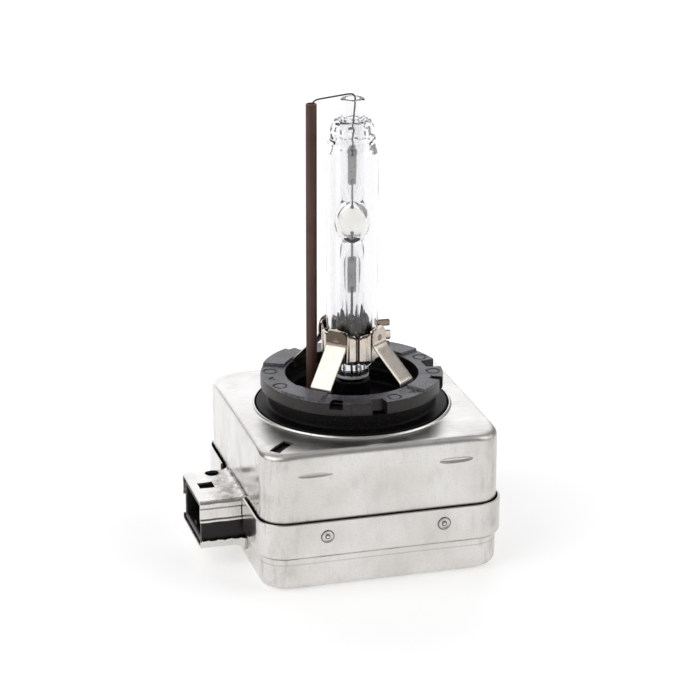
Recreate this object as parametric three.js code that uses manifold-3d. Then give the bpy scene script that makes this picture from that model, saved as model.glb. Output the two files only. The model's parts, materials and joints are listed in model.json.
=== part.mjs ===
// Gas-discharge headlight bulb with its igniter in the base.
// Millimetres, +Z up. The origin is the centre of the flat underside of the case, on the bulb axis.
// -Y is the front of the case, and the connector leaves it towards -X.
import * as THREE from 'three';
import { mergeVertices } from 'three/addons/utils/BufferGeometryUtils.js';
import Module from 'manifold-3d';

const wasm = await Module();
wasm.setup();

// ---- Driving dimensions ----------------------------------------------------------------

// Clearance between two pieces that touch on the real bulb.
const GAP = 0.3;

// Pressed steel case: an upper can that slides into the joggled band of a lower pan.
const CASE_WIDTH = 42;
const CASE_DEPTH = 42;
const CASE_HEIGHT = 25;
const CASE_CORNER = 4.5;
const SHEET = 0.4;
const CAN_EDGE = 1.2;
const PAN_EDGE = 2;
const BAND_BOTTOM = 6.1;
const BAND_TOP = 12.5;
const BAND_WELD_RADIUS = 1.15;
const BAND_WELD_SPREAD = 10.3;
const BAND_WELD_HEIGHT = 9.85;
const DENT_DEPTH = 0.15;

// Openings and pressings of the upper can.
const NECK_HOLE_RADIUS = 17;
const RIM_WIDTH = 0.8;
const RIM_RISE = 0.35;
const SLOT_LENGTH = 4.7;
const SLOT_WIDTH = 2;
const SLOT_FROM_CORNER = 5.7;
const STOP_DENT_LENGTH = 5.6;
const STOP_DENT_HEIGHT = 0.8;
const STOP_DENT_SPREAD = 12.2;
const STOP_DENT_BELOW_TOP = 4.1;

// Connector: a plastic socket under a hood of the can and over a shelf of the pan.
const CONNECTOR_OFFSET = -0.7;
const CONNECTOR_WIDTH = 14;
const CONNECTOR_REACH = 8.1;
const HOOD_TOP = 12.4;
const HOOD_SKIRT = 3.9;
const SHELF_BOTTOM = 3.6;
const SHELF_LIP = 1.4;
const SOCKET_WALL = 1;
const SOCKET_BACK_INSIDE = 1.4;
const SOCKET_BACK_WALL = 1.4;
const SOCKET_KEY_WIDTH = 1.2;
const SOCKET_KEY_HEIGHT = 0.7;
const HOOD_HOLE_RADIUS = 1.2;
const HOOD_HOLE_FROM_EDGE = 1.7;
const HOOD_HOLE_FROM_WALL = 3.2;
const LATCH_WINDOW = 2.6;
const LATCH_WINDOW_FROM_END = 1.4;
const PIN_COUNT = 4;
const PIN_PITCH = 2.4;
const PIN_SIZE = 0.64;
const PIN_FROM_MOUTH = 4.8;
const PIN_LANDING = 3.5;

// Plastic housing that fills the can and carries the flange ring on its neck.
const HOUSING_WALL = 1.2;
const HOUSING_BOTTOM = 12.8;
const HOUSING_EDGE = 1;
const BOSS_RISE = 0.5;
const NECK_RADIUS = 14.5;
const WELL_RADIUS = 10.4;
const WELL_FLOOR = 25.2;
const WELL_STEP = 0.6;

// Flange ring that locates the bulb in the headlight.
const RING_RADIUS = 16;
const RING_BORE = 11.6;
const RING_BOTTOM = 28.5;
const RING_TOP = 30.7;
const PAD_RISE = 0.5;
const PAD_EDGE = 0.25;
const PIN_MARK_RADIUS = 1.2;
const PIN_MARK_DEPTH = 0.12;
const PIN_MARK_CIRCLE = 14.25;

// Glass: an outer envelope round a burner, with the arc above the reference pads.
const LIGHT_CENTRE = 27.1;
const ARC_GAP = 4.2;
const ENVELOPE_RADIUS = 4.5;
const ENVELOPE_WALL = 0.8;
const ENVELOPE_ABOVE_ARC = 13.4;
const ENVELOPE_STEP = 0.6;
const ENVELOPE_STEP_LENGTH = 2.6;
const ENVELOPE_CONE = 1.8;
const ENVELOPE_FOOT_RADIUS = 2.95;
const ENVELOPE_FOOT_LENGTH = 1.6;
const ENVELOPE_FOOT_FLARE = 1.8;
const ENVELOPE_FOOT_ABOVE_SEAT = 0.6;
const STEM_RADIUS = 2.05;
const STEM_BORE = 1.15;
const STEM_ABOVE_ARC = 21.4;
const BURNER_RADIUS = 3.05;
const BURNER_HALF_LENGTH = 3.4;
const BURNER_WALL = 1.1;
const SEAT_WALL = 0.9;
const SEAT_HEIGHT = 4.1;
const SEAT_FLOOR = 0.7;

// Current path inside the glass.
const FOIL_WIDTH = 1.55;
const FOIL_THICKNESS = 0.1;
const FOIL_LENGTH = 6.5;
const FOIL_FROM_ARC = 6.3;
const ELECTRODE_RADIUS = 0.2;
const ELECTRODE_TIP = 0.35;
const LEAD_RADIUS = 0.2;

// Return wire and the ceramic tube that insulates it beside the glass.
const WIRE_RADIUS = 0.18;
const TUBE_RADIUS = 0.94;
const TUBE_BORE = 0.5;
const TUBE_X = -7.2;
const TUBE_Y = 0;
const TUBE_BELOW_STEM = 0.5;
const WIRE_ARCH = 0.7;

// Steel holder: a collar clamped on the glass and four legs down to the flange ring.
const COLLAR_SHEET = 0.3;
const COLLAR_BOTTOM = 34.2;
const COLLAR_HEIGHT = 5.2;
const EAR_HEIGHTS = [1.2, 1.75, 1.2];
const EAR_SPACE = 0.55;
const EAR_REACH = 1.8;
const EAR_WIDTH = 1.3;
const EAR_OVERHANG = 0.3;
const LEG_WIDTH = 4;
const LEG_SHEET = 0.35;
const LEG_BEND_BELOW_COLLAR_TOP = 2.4;
const LEG_TAB_RISE = 0.8;
const LEG_FOOT_DROP = 1.5;
const LEG_ANGLES = [-49, 46, 130, -134];

// Igniter inside the case.
const TRAY_FLOOR = 1;
const TRAY_POST = 1.6;
const TRAY_POST_INSET = 2.4;
const BOARD_BOTTOM = 4.6;
const BOARD_THICKNESS = 1.4;
const BOARD_MARGIN = 2;
const CORE_RADIUS = 2.5;
const CORE_LENGTH = 28;
const BOBBIN_WALL = 0.8;
const BOBBIN_FLANGE_RADIUS = 6.9;
const BOBBIN_FLANGE = 1;
const SECONDARY_BUILD = 1.8;
const PRIMARY_BUILD = 0.5;
const PRIMARY_LENGTH = 12;
const TRANSFORMER_X = 9.5;
const TRANSFORMER_Z = 15;
const TERMINAL_RADIUS = 1.3;
const TERMINAL_HEIGHT = 3;
const TERMINAL_STRIP = 0.5;
const GAP_TUBE_RADIUS = 3.4;
const GAP_TUBE_LENGTH = 5;
const GAP_TUBE_CAP = 0.9;
const GAP_TUBE_PLACE = [-9, 12];
const CAPACITOR_SIZE = [10, 6.5, 8];
const CAPACITOR_PLACE = [-8.5, -13];
const RESISTOR_RADIUS = 1.2;
const RESISTOR_LENGTH = 6.5;
const RESISTOR_PLACE = [-12.5, 1];
const CHOKE_RADIUS = 3;
const CHOKE_HEIGHT = 5;
const CHOKE_PLACE = [-3.4, -4.5];

// ---- Sizes that follow from the ones above ------------------------------------------------

const caseLeft = -CASE_WIDTH / 2;
const caseFront = -CASE_DEPTH / 2;
const bandStep = GAP + SHEET;
const connectorEnd = caseLeft - CONNECTOR_REACH;
const connectorFront = CONNECTOR_OFFSET - CONNECTOR_WIDTH / 2;
const connectorBack = CONNECTOR_OFFSET + CONNECTOR_WIDTH / 2;
const socketFront = connectorFront + SHEET + GAP;
const socketBack = connectorBack - SHEET - GAP;
const socketBottom = SHELF_BOTTOM + SHEET + GAP;
const socketTop = HOOD_TOP - SHEET - GAP;
const socketMouth = connectorEnd + GAP;
const socketInner = caseLeft + SOCKET_BACK_INSIDE;
const pinHeight = (socketBottom + socketTop) / 2;
const boardTop = BOARD_BOTTOM + BOARD_THICKNESS;
const neckTop = RING_BOTTOM - GAP;
const padTop = RING_TOP + PAD_RISE;
const arcHeight = padTop + LIGHT_CENTRE;
const stemTop = arcHeight + STEM_ABOVE_ARC;
const seatBottom = WELL_FLOOR + GAP;
const seatTop = seatBottom + SEAT_HEIGHT;
const seatBore = STEM_RADIUS + GAP;
const stemBottom = seatBottom + SEAT_FLOOR + GAP;
const glassBottom = seatTop + ENVELOPE_FOOT_ABOVE_SEAT;
const envelopeShoulder = arcHeight + ENVELOPE_ABOVE_ARC;
const collarTop = COLLAR_BOTTOM + COLLAR_HEIGHT;
const collarBore = ENVELOPE_RADIUS + GAP;
const collarRadius = collarBore + COLLAR_SHEET;
const tubeTop = stemTop - TUBE_BELOW_STEM;
const terminalTop = CASE_HEIGHT - SHEET - GAP - HOUSING_WALL - GAP;

// ---- Finishes ----------------------------------------------------------------------------

function finish(color, roughness, metalness, opacity = 1) {
  return new THREE.MeshStandardMaterial({
    color,
    roughness,
    metalness,
    opacity,
    transparent: opacity < 1,
  });
}

const caseSteel = finish(0xc9c8c6, 0.32, 1);
const holderSteel = finish(0xb9b2a6, 0.35, 1);
const blackPlastic = finish(0x17181a, 0.6, 0);
const ringPlastic = finish(0x34373c, 0.55, 0);
const ceramic = finish(0x5a4038, 0.75, 0);
const clearGlass = finish(0xf4f4fa, 0.03, 0, 0.25);
const foilMetal = finish(0x77787a, 0.5, 1);
const wireMetal = finish(0x4a4a4c, 0.45, 1);
const tungsten = finish(0x8a8a8a, 0.4, 1);
const tinned = finish(0xd2cfc4, 0.3, 1);
const boardLaminate = finish(0x2e5a35, 0.6, 0);
const trayPlastic = finish(0xd8d2c0, 0.6, 0);
const ferrite = finish(0x2b2b2d, 0.7, 0);
const copper = finish(0xb56a3c, 0.4, 1);
const capacitorBox = finish(0xb9a23c, 0.5, 0);
const resistorBody = finish(0x4f6f9a, 0.5, 0);
const gapCeramic = finish(0xe6e3dc, 0.4, 0);

// ---- Geometry tools ----------------------------------------------------------------------

// A closed geometry as a solid that can be joined and cut; triangles that shrink to a line
// where a profile meets its axis are left out.
function solidOf(geometry) {
  const bare = geometry.clone();
  bare.deleteAttribute('normal');
  bare.deleteAttribute('uv');
  const welded = mergeVertices(bare, 1e-4);
  const corners = [];
  for (let i = 0; i < welded.index.count; i += 3) {
    const [a, b, c] = [0, 1, 2].map((k) => welded.index.getX(i + k));
    if (a !== b && b !== c && c !== a) {
      corners.push(a, b, c);
    }
  }
  const vertProperties = new Float32Array(welded.attributes.position.array);
  const triVerts = new Uint32Array(corners);
  return new wasm.Manifold(new wasm.Mesh({ numProp: 3, vertProperties, triVerts }));
}

function geometryOf(solid) {
  const mesh = solid.getMesh();
  const geometry = new THREE.BufferGeometry();
  geometry.setAttribute('position', new THREE.BufferAttribute(mesh.vertProperties, 3));
  geometry.setIndex(new THREE.BufferAttribute(mesh.triVerts, 1));
  geometry.computeVertexNormals();
  return geometry;
}

// The first geometry with the others joined on.
function joined(base, ...extras) {
  return geometryOf(extras.reduce((sum, extra) => sum.add(solidOf(extra)), solidOf(base)));
}

// The first geometry with the others cut out.
function cut(base, ...tools) {
  return geometryOf(tools.reduce((rest, tool) => rest.subtract(solidOf(tool)), solidOf(base)));
}

function common(a, b) {
  return geometryOf(solidOf(a).intersect(solidOf(b)));
}

// Block between two corners.
function block(x0, x1, y0, y1, z0, z1) {
  const box = new THREE.BoxGeometry(x1 - x0, y1 - y0, z1 - z0);
  return box.translate((x0 + x1) / 2, (y0 + y1) / 2, (z0 + z1) / 2);
}

// Solid of revolution about Z; the profile is radius, height pairs with the outer wall upwards.
function turned(profile, segments = 32) {
  const points = profile.map(([radius, height]) => new THREE.Vector2(radius, height));
  return new THREE.LatheGeometry([...points, points[0]], segments).rotateX(Math.PI / 2);
}

function disc(radius, z0, z1, segments = 32) {
  return turned([[0, z0], [radius, z0], [radius, z1], [0, z1]], segments);
}

function hollow(inner, outer, z0, z1, segments = 32) {
  return turned([[inner, z0], [outer, z0], [outer, z1], [inner, z1]], segments);
}

// Upright prism of an outline in X and Y.
function prism(shape, z0, z1, curveSegments = 6) {
  const options = { depth: z1 - z0, bevelEnabled: false, curveSegments };
  return new THREE.ExtrudeGeometry(shape, options).translate(0, 0, z0);
}

function roundedRectangle(width, depth, radius) {
  const x = width / 2 - radius;
  const y = depth / 2 - radius;
  const shape = new THREE.Shape();
  shape.absarc(x, y, radius, 0, Math.PI / 2, false);
  shape.absarc(-x, y, radius, Math.PI / 2, Math.PI, false);
  shape.absarc(-x, -y, radius, Math.PI, 1.5 * Math.PI, false);
  shape.absarc(x, -y, radius, 1.5 * Math.PI, 2 * Math.PI, false);
  shape.closePath();
  return shape;
}

// Prism of a rounded rectangle whose top and bottom edges are rounded as well.
function softBlock(width, depth, corner, edge, z0, z1) {
  const options = {
    depth: z1 - z0 - 2 * edge,
    bevelThickness: edge,
    bevelSize: edge,
    bevelOffset: -edge,
    bevelSegments: 3,
    curveSegments: 5,
  };
  const shape = roundedRectangle(width, depth, corner);
  return new THREE.ExtrudeGeometry(shape, options).translate(0, 0, z0 + edge);
}

// Sector of a flat ring between two angles in degrees.
function sector(inner, outer, from, to, z0, z1) {
  const [a, b] = [from, to].map(THREE.MathUtils.degToRad);
  const shape = new THREE.Shape();
  shape.absarc(0, 0, outer, a, b, false);
  shape.absarc(0, 0, inner, b, a, true);
  shape.closePath();
  return prism(shape, z0, z1, 8);
}

// Outline of a bent strip of even thickness along a line of points, with mitred bends.
function stripOutline(points, thickness) {
  const at = points.map(([x, y]) => new THREE.Vector2(x, y));
  const sides = at.map((point, i) => {
    const before = at[Math.max(i - 1, 0)];
    const after = at[Math.min(i + 1, at.length - 1)];
    const into = (i > 0 ? point.clone().sub(before) : after.clone().sub(point)).normalize();
    const out = (i < at.length - 1 ? after.clone().sub(point) : into.clone()).normalize();
    const normal = new THREE.Vector2(-into.y - out.y, into.x + out.x).normalize();
    const reach = thickness / 2 / normal.dot(new THREE.Vector2(-into.y, into.x));
    return [point.clone().addScaledVector(normal, reach), point.clone().addScaledVector(normal, -reach)];
  });
  return new THREE.Shape([...sides.map((pair) => pair[0]), ...sides.map((pair) => pair[1]).reverse()]);
}

// Prism along Y of an outline drawn in X and Z, centred on the XZ plane.
function slabAcrossY(shape, width) {
  const options = { depth: width, bevelEnabled: false, curveSegments: 8 };
  return new THREE.ExtrudeGeometry(shape, options).rotateX(Math.PI / 2).translate(0, width / 2, 0);
}

// Prism along X of an outline drawn in Y and Z.
function slabAcrossX(shape, x0, x1) {
  const options = { depth: x1 - x0, bevelEnabled: false, curveSegments: 8 };
  const slab = new THREE.ExtrudeGeometry(shape, options);
  return slab.rotateX(Math.PI / 2).rotateZ(Math.PI / 2).translate(x0, 0, 0);
}

// Round rod along a curve.
function rod(curve, radius, steps, sides = 8) {
  const section = new THREE.Shape().absarc(0, 0, radius, 0, 2 * Math.PI, false);
  const options = { steps, extrudePath: curve, bevelEnabled: false, curveSegments: sides };
  return new THREE.ExtrudeGeometry(section, options);
}

const group = new THREE.Group();

function add(name, geometry, material, parent = group) {
  const mesh = new THREE.Mesh(geometry, material);
  mesh.name = name;
  parent.add(mesh);
  return mesh;
}

// ---- Case --------------------------------------------------------------------------------

// Block of the case outline, grown or shrunk by an offset, between two heights.
function caseBlock(offset, edge, z0, z1) {
  return softBlock(CASE_WIDTH + 2 * offset, CASE_DEPTH + 2 * offset, CASE_CORNER + offset, edge, z0, z1);
}

function casePrism(offset, z0, z1) {
  const outline = roundedRectangle(CASE_WIDTH + 2 * offset, CASE_DEPTH + 2 * offset, CASE_CORNER + offset);
  return prism(outline, z0, z1, 5);
}

// Everything below a height, wide enough for the whole object.
function below(height) {
  const reach = CASE_WIDTH + CASE_DEPTH;
  return block(-reach, reach, -reach, reach, -reach, height);
}

function above(height) {
  const reach = CASE_WIDTH + CASE_DEPTH;
  return block(-reach, reach, -reach, reach, height, reach);
}

// Passage for the socket through the left wall.
function socketPassage(z0, z1) {
  return block(caseLeft - 1, caseLeft + 1, socketFront - GAP, socketBack + GAP, z0, z1);
}

function upperCan() {
  const skirt = BAND_BOTTOM + SHEET + GAP;
  const shell = cut(
    caseBlock(0, CAN_EDGE, -CASE_HEIGHT, CASE_HEIGHT),
    caseBlock(-SHEET, CAN_EDGE - SHEET, -CASE_HEIGHT, CASE_HEIGHT - SHEET),
    below(skirt),
  );
  const rim = disc(NECK_HOLE_RADIUS + RIM_WIDTH, CASE_HEIGHT - SHEET, CASE_HEIGHT + RIM_RISE, 48);
  const hood = cut(
    block(connectorEnd, caseLeft + SHEET, connectorFront, connectorBack, HOOD_TOP - HOOD_SKIRT, HOOD_TOP),
    block(
      connectorEnd - 1, caseLeft + SHEET + 1,
      connectorFront + SHEET, connectorBack - SHEET,
      HOOD_TOP - HOOD_SKIRT - 1, HOOD_TOP - SHEET,
    ),
  );
  const neckHole = disc(NECK_HOLE_RADIUS, CASE_HEIGHT - 2 * SHEET, CASE_HEIGHT + 1, 48);
  const slotShape = roundedRectangle(SLOT_LENGTH, SLOT_WIDTH, SLOT_WIDTH / 6);
  const slotReach = CASE_WIDTH / 2 - SLOT_FROM_CORNER / Math.SQRT2;
  const slotDepth = CASE_DEPTH / 2 - SLOT_FROM_CORNER / Math.SQRT2;
  const slot = prism(slotShape, CASE_HEIGHT - 2 * SHEET, CASE_HEIGHT + 1, 2)
    .rotateZ(Math.PI / 4)
    .translate(-slotReach, -slotDepth, 0);
  const dentShape = roundedRectangle(STOP_DENT_LENGTH, STOP_DENT_HEIGHT, STOP_DENT_HEIGHT / 3);
  const dents = [-1, 1].map((side) => prism(dentShape, 0, 2 * DENT_DEPTH, 2)
    .rotateX(Math.PI / 2)
    .translate(side * STOP_DENT_SPREAD, caseFront + DENT_DEPTH, CASE_HEIGHT - STOP_DENT_BELOW_TOP));
  const hoodHole = disc(HOOD_HOLE_RADIUS, HOOD_TOP - 2 * SHEET, HOOD_TOP + 1, 20)
    .translate(caseLeft - HOOD_HOLE_FROM_WALL, connectorBack - HOOD_HOLE_FROM_EDGE, 0);
  const windowLeft = connectorEnd + LATCH_WINDOW_FROM_END;
  const latchWindow = block(
    windowLeft, windowLeft + LATCH_WINDOW,
    CONNECTOR_OFFSET - LATCH_WINDOW / 2, CONNECTOR_OFFSET + LATCH_WINDOW / 2,
    HOOD_TOP - 2 * SHEET, HOOD_TOP + 1,
  );
  return cut(
    joined(shell, rim, hood),
    neckHole, slot, ...dents, hoodHole, latchWindow,
    socketPassage(skirt - 1, HOOD_TOP - SHEET),
  );
}

function lowerPan() {
  const lower = cut(caseBlock(0, PAN_EDGE, 0, CASE_HEIGHT), above(BAND_BOTTOM + SHEET));
  const band = casePrism(bandStep, BAND_BOTTOM, BAND_TOP);
  const cavity = cut(caseBlock(-SHEET, PAN_EDGE - SHEET, SHEET, CASE_HEIGHT), above(BAND_TOP + 1));
  const bandCavity = casePrism(GAP, BAND_BOTTOM + SHEET, BAND_TOP + 1);
  const shelf = cut(
    block(
      connectorEnd, caseLeft + SHEET,
      connectorFront, connectorBack,
      SHELF_BOTTOM, SHELF_BOTTOM + SHELF_LIP,
    ),
    block(
      connectorEnd - 1, caseLeft + 1,
      connectorFront + SHEET, connectorBack - SHEET,
      SHELF_BOTTOM + SHEET, CASE_HEIGHT,
    ),
  );
  const bandCut = block(
    caseLeft - bandStep - 1, caseLeft + SHEET / 2,
    connectorFront - GAP, connectorBack + GAP,
    SHELF_BOTTOM + SHELF_LIP, BAND_TOP + 1,
  );
  const welds = [-1, 1].map((side) => disc(BAND_WELD_RADIUS, 0, 2 * DENT_DEPTH, 16)
    .rotateX(Math.PI / 2)
    .translate(side * BAND_WELD_SPREAD, caseFront - bandStep + DENT_DEPTH, BAND_WELD_HEIGHT));
  const body = cut(joined(lower, band), cavity, bandCavity, bandCut);
  return cut(joined(body, shelf), socketPassage(SHELF_BOTTOM + SHEET, BAND_TOP + 1), ...welds);
}

add('upper_can', upperCan(), caseSteel);
add('lower_pan', lowerPan(), caseSteel);

// ---- Connector ---------------------------------------------------------------------------

const pinPlaces = Array.from({ length: PIN_COUNT }, (_, i) => (
  CONNECTOR_OFFSET + (i - (PIN_COUNT - 1) / 2) * PIN_PITCH
));

function connectorSocket() {
  const body = block(socketMouth, socketInner, socketFront, socketBack, socketBottom, socketTop);
  const cavity = block(
    socketMouth - 1, socketInner - SOCKET_BACK_WALL,
    socketFront + SOCKET_WALL, socketBack - SOCKET_WALL,
    socketBottom + SOCKET_WALL, socketTop - SOCKET_WALL,
  );
  const pinHoles = pinPlaces.map((y) => {
    const half = PIN_SIZE / 2 + GAP;
    return block(socketInner - SOCKET_BACK_WALL - 1, socketInner + 1, y - half, y + half,
      pinHeight - half, pinHeight + half);
  });
  const key = block(
    socketMouth, socketInner - SOCKET_BACK_WALL / 2,
    CONNECTOR_OFFSET - SOCKET_KEY_WIDTH / 2, CONNECTOR_OFFSET + SOCKET_KEY_WIDTH / 2,
    socketBottom + SOCKET_WALL / 2, socketBottom + SOCKET_WALL + SOCKET_KEY_HEIGHT,
  );
  return joined(cut(body, cavity, ...pinHoles), key);
}

// Pin that runs in through the back wall of the socket and turns down to the circuit board.
function contactPin() {
  const start = socketMouth + PIN_FROM_MOUTH;
  const landing = caseLeft + PIN_LANDING;
  const bottom = boardTop + GAP;
  const route = [[start, pinHeight], [landing, pinHeight], [landing, bottom]];
  return slabAcrossY(stripOutline(route, PIN_SIZE), PIN_SIZE);
}

add('connector_socket', connectorSocket(), blackPlastic);
pinPlaces.forEach((y, i) => {
  const pin = add(`contact_pin_${i + 1}`, contactPin(), tinned);
  pin.position.y = y;
});

// ---- Housing, neck and flange ring ----------------------------------------------------------

function housingCover() {
  const outerOffset = -SHEET - GAP;
  const top = CASE_HEIGHT - SHEET - GAP;
  const shell = cut(
    caseBlock(outerOffset, HOUSING_EDGE, -CASE_HEIGHT, top),
    casePrism(outerOffset - HOUSING_WALL, -CASE_HEIGHT - 1, top - HOUSING_WALL),
    below(HOUSING_BOTTOM),
  );
  const boss = disc(NECK_HOLE_RADIUS - GAP, top - HOUSING_WALL, CASE_HEIGHT + BOSS_RISE, 48);
  const neck = disc(NECK_RADIUS, top, neckTop, 48);
  const well = turned([
    [0, WELL_FLOOR],
    [WELL_RADIUS, WELL_FLOOR],
    [WELL_RADIUS, neckTop - WELL_STEP],
    [RING_BORE, neckTop],
    [RING_BORE, neckTop + 1],
    [0, neckTop + 1],
  ], 40);
  const leadHole = disc(LEAD_RADIUS + GAP, top - 2 * HOUSING_WALL, WELL_FLOOR + 1, 12);
  const wireHole = disc(WIRE_RADIUS + GAP, top - 2 * HOUSING_WALL, WELL_FLOOR + 1, 12)
    .translate(TUBE_X, TUBE_Y, 0);
  return cut(joined(shell, boss, neck), well, leadHole, wireHole);
}

// Keyways cut into the rim of the flange ring: angle in degrees, width and depth of each.
const keyways = [
  { angle: 2, width: 3.9, depth: 2.7, round: false },
  { angle: -29, width: 2.6, depth: 1.9, round: true },
  { angle: -88.4, width: 2.5, depth: 2, round: false },
  { angle: -115, width: 2.8, depth: 0.5, round: false },
  { angle: 108, width: 3.2, depth: 1.6, round: false },
];

// Raised reference pads on the flange ring, from one angle to another in degrees.
const pads = [[-155, -126], [-54, -26], [28, 60], [122, 152]];

// Round ejector marks sunk into the top of the flange ring.
const pinMarks = [16.4, 80, 164, -165.7, -75.2, -13.9];

function baseRing() {
  const body = turned([
    [RING_BORE, RING_BOTTOM],
    [RING_RADIUS - PAD_EDGE, RING_BOTTOM],
    [RING_RADIUS, RING_BOTTOM + PAD_EDGE],
    [RING_RADIUS, RING_TOP - PAD_EDGE],
    [RING_RADIUS - PAD_EDGE, RING_TOP],
    [RING_BORE, RING_TOP],
  ], 56);
  const raised = pads.map(([from, to]) => (
    sector(RING_BORE + PAD_EDGE, RING_RADIUS - 2 * PAD_EDGE, from, to, RING_TOP - PAD_EDGE, padTop)
  ));
  const cutters = keyways.map(({ angle, width, depth, round }) => {
    const inner = RING_RADIUS - depth;
    const bar = round
      ? joined(
        block(inner + width / 2, RING_RADIUS + 1, -width / 2, width / 2, RING_BOTTOM - 1, padTop + 1),
        disc(width / 2, RING_BOTTOM - 1, padTop + 1, 16).translate(inner + width / 2, 0, 0),
      )
      : block(inner, RING_RADIUS + 1, -width / 2, width / 2, RING_BOTTOM - 1, padTop + 1);
    return bar.rotateZ(THREE.MathUtils.degToRad(angle));
  });
  const marks = pinMarks.map((angle) => (
    disc(PIN_MARK_RADIUS, RING_TOP - PIN_MARK_DEPTH, padTop, 16)
      .translate(PIN_MARK_CIRCLE, 0, 0)
      .rotateZ(THREE.MathUtils.degToRad(angle))
  ));
  return cut(joined(body, ...raised), ...cutters, ...marks);
}

add('housing_cover', housingCover(), blackPlastic);
add('base_ring', baseRing(), ringPlastic);

// ---- Glass -------------------------------------------------------------------------------

// Cup under the glass, with a hole in its floor for the lower lead.
const lampSeat = turned([
  [LEAD_RADIUS + GAP, seatBottom],
  [seatBore + SEAT_WALL, seatBottom],
  [seatBore + SEAT_WALL, seatTop],
  [seatBore, seatTop],
  [seatBore, seatBottom + SEAT_FLOOR],
  [LEAD_RADIUS + GAP, seatBottom + SEAT_FLOOR],
], 28);
add('lamp_seat', lampSeat, blackPlastic);

function outerEnvelope() {
  const bore = STEM_RADIUS + GAP;
  const inside = ENVELOPE_RADIUS - ENVELOPE_WALL;
  const neckRadius = ENVELOPE_RADIUS - ENVELOPE_STEP;
  const flareBottom = glassBottom + ENVELOPE_FOOT_LENGTH;
  const flareTop = flareBottom + ENVELOPE_FOOT_FLARE;
  const stepTop = envelopeShoulder + ENVELOPE_STEP_LENGTH;
  const coneTop = stepTop + ENVELOPE_CONE;
  return turned([
    [bore, glassBottom],
    [ENVELOPE_FOOT_RADIUS, glassBottom],
    [ENVELOPE_FOOT_RADIUS, flareBottom],
    [ENVELOPE_RADIUS, flareTop],
    [ENVELOPE_RADIUS, envelopeShoulder - ENVELOPE_STEP / 2],
    [neckRadius, envelopeShoulder + ENVELOPE_STEP / 2],
    [neckRadius, stepTop],
    [bore + ENVELOPE_STEP / 2, coneTop],
    [bore, coneTop],
    [bore, coneTop - ENVELOPE_CONE / 2],
    [neckRadius - ENVELOPE_WALL, stepTop - ENVELOPE_WALL],
    [neckRadius - ENVELOPE_WALL, envelopeShoulder],
    [inside, envelopeShoulder - ENVELOPE_WALL],
    [inside, flareTop + ENVELOPE_WALL],
    [bore, flareBottom + ENVELOPE_WALL],
  ], 32);
}

// Burner: two stems and the arc bulb between them, with an ellipse inside and outside.
function arcTube() {
  const samples = 6;
  const heights = Array.from({ length: 2 * samples + 1 }, (_, i) => i / samples - 1);
  const outer = heights.map((t) => [
    Math.max(STEM_RADIUS, BURNER_RADIUS * Math.sqrt(1 - t * t)),
    arcHeight + BURNER_HALF_LENGTH * t,
  ]);
  const cavityRadius = BURNER_RADIUS - BURNER_WALL;
  const cavityHalf = BURNER_HALF_LENGTH - BURNER_WALL / 2;
  const inner = heights.map((t) => [
    Math.max(STEM_BORE, cavityRadius * Math.sqrt(1 - t * t)),
    arcHeight - cavityHalf * t,
  ]);
  return turned([
    [STEM_BORE, stemBottom],
    [STEM_RADIUS, stemBottom],
    ...outer,
    [STEM_RADIUS, stemTop],
    [STEM_BORE, stemTop],
    ...inner,
  ], 18);
}

const glass = new THREE.Group();
group.add(glass);
add('outer_envelope', outerEnvelope(), clearGlass, glass);
add('arc_tube', arcTube(), clearGlass, glass);

// Foil seals, electrodes and leads: the upper ones mirror the lower ones about the arc.
const foilNear = FOIL_FROM_ARC;
const foilFar = foilNear + FOIL_LENGTH;
['upper', 'lower'].forEach((end) => {
  const side = end === 'upper' ? 1 : -1;
  const foil = new THREE.BoxGeometry(FOIL_WIDTH, FOIL_THICKNESS, FOIL_LENGTH);
  const foilMesh = add(`foil_${end}`, foil, foilMetal, glass);
  foilMesh.position.z = arcHeight + side * (foilNear + foilFar) / 2;
  const shank = foilNear - GAP;
  const tip = ARC_GAP / 2;
  const electrode = turned([
    [0, tip],
    [ELECTRODE_TIP * Math.SQRT1_2, tip + ELECTRODE_TIP * (1 - Math.SQRT1_2)],
    [ELECTRODE_TIP, tip + ELECTRODE_TIP],
    [ELECTRODE_RADIUS, tip + 2 * ELECTRODE_TIP],
    [ELECTRODE_RADIUS, shank],
    [0, shank],
  ], 12);
  const electrodeMesh = add(`electrode_${end}`, electrode, tungsten, glass);
  electrodeMesh.rotation.x = side > 0 ? 0 : Math.PI;
  electrodeMesh.position.z = arcHeight;
});

const leadTop = arcHeight - foilFar - GAP;
const leadBottom = terminalTop - TERMINAL_HEIGHT / 2;
add('lead_lower', disc(LEAD_RADIUS, leadBottom, leadTop, 8), wireMetal);

// ---- Return wire and ceramic tube ------------------------------------------------------------

function returnWire() {
  const peak = stemTop + WIRE_ARCH;
  const bend = new THREE.CatmullRomCurve3([
    new THREE.Vector3(0, 0, stemTop - 1),
    new THREE.Vector3(0, 0, stemTop + GAP),
    new THREE.Vector3(TUBE_X * 0.12, TUBE_Y * 0.12, peak),
    new THREE.Vector3(TUBE_X * 0.6, TUBE_Y * 0.6, stemTop + GAP / 2),
    new THREE.Vector3(TUBE_X * 0.93, TUBE_Y * 0.93, tubeTop + 2 * GAP),
    new THREE.Vector3(TUBE_X, TUBE_Y, tubeTop - GAP),
    new THREE.Vector3(TUBE_X, TUBE_Y, tubeTop - 1),
  ]);
  const top = rod(bend, WIRE_RADIUS, 26, 4);
  const inStem = disc(WIRE_RADIUS, arcHeight + foilFar + GAP, stemTop - 1 + GAP, 8);
  const inTube = disc(WIRE_RADIUS, leadBottom, tubeTop - 1 + GAP, 8).translate(TUBE_X, TUBE_Y, 0);
  return joined(top, inStem, inTube);
}

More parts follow.
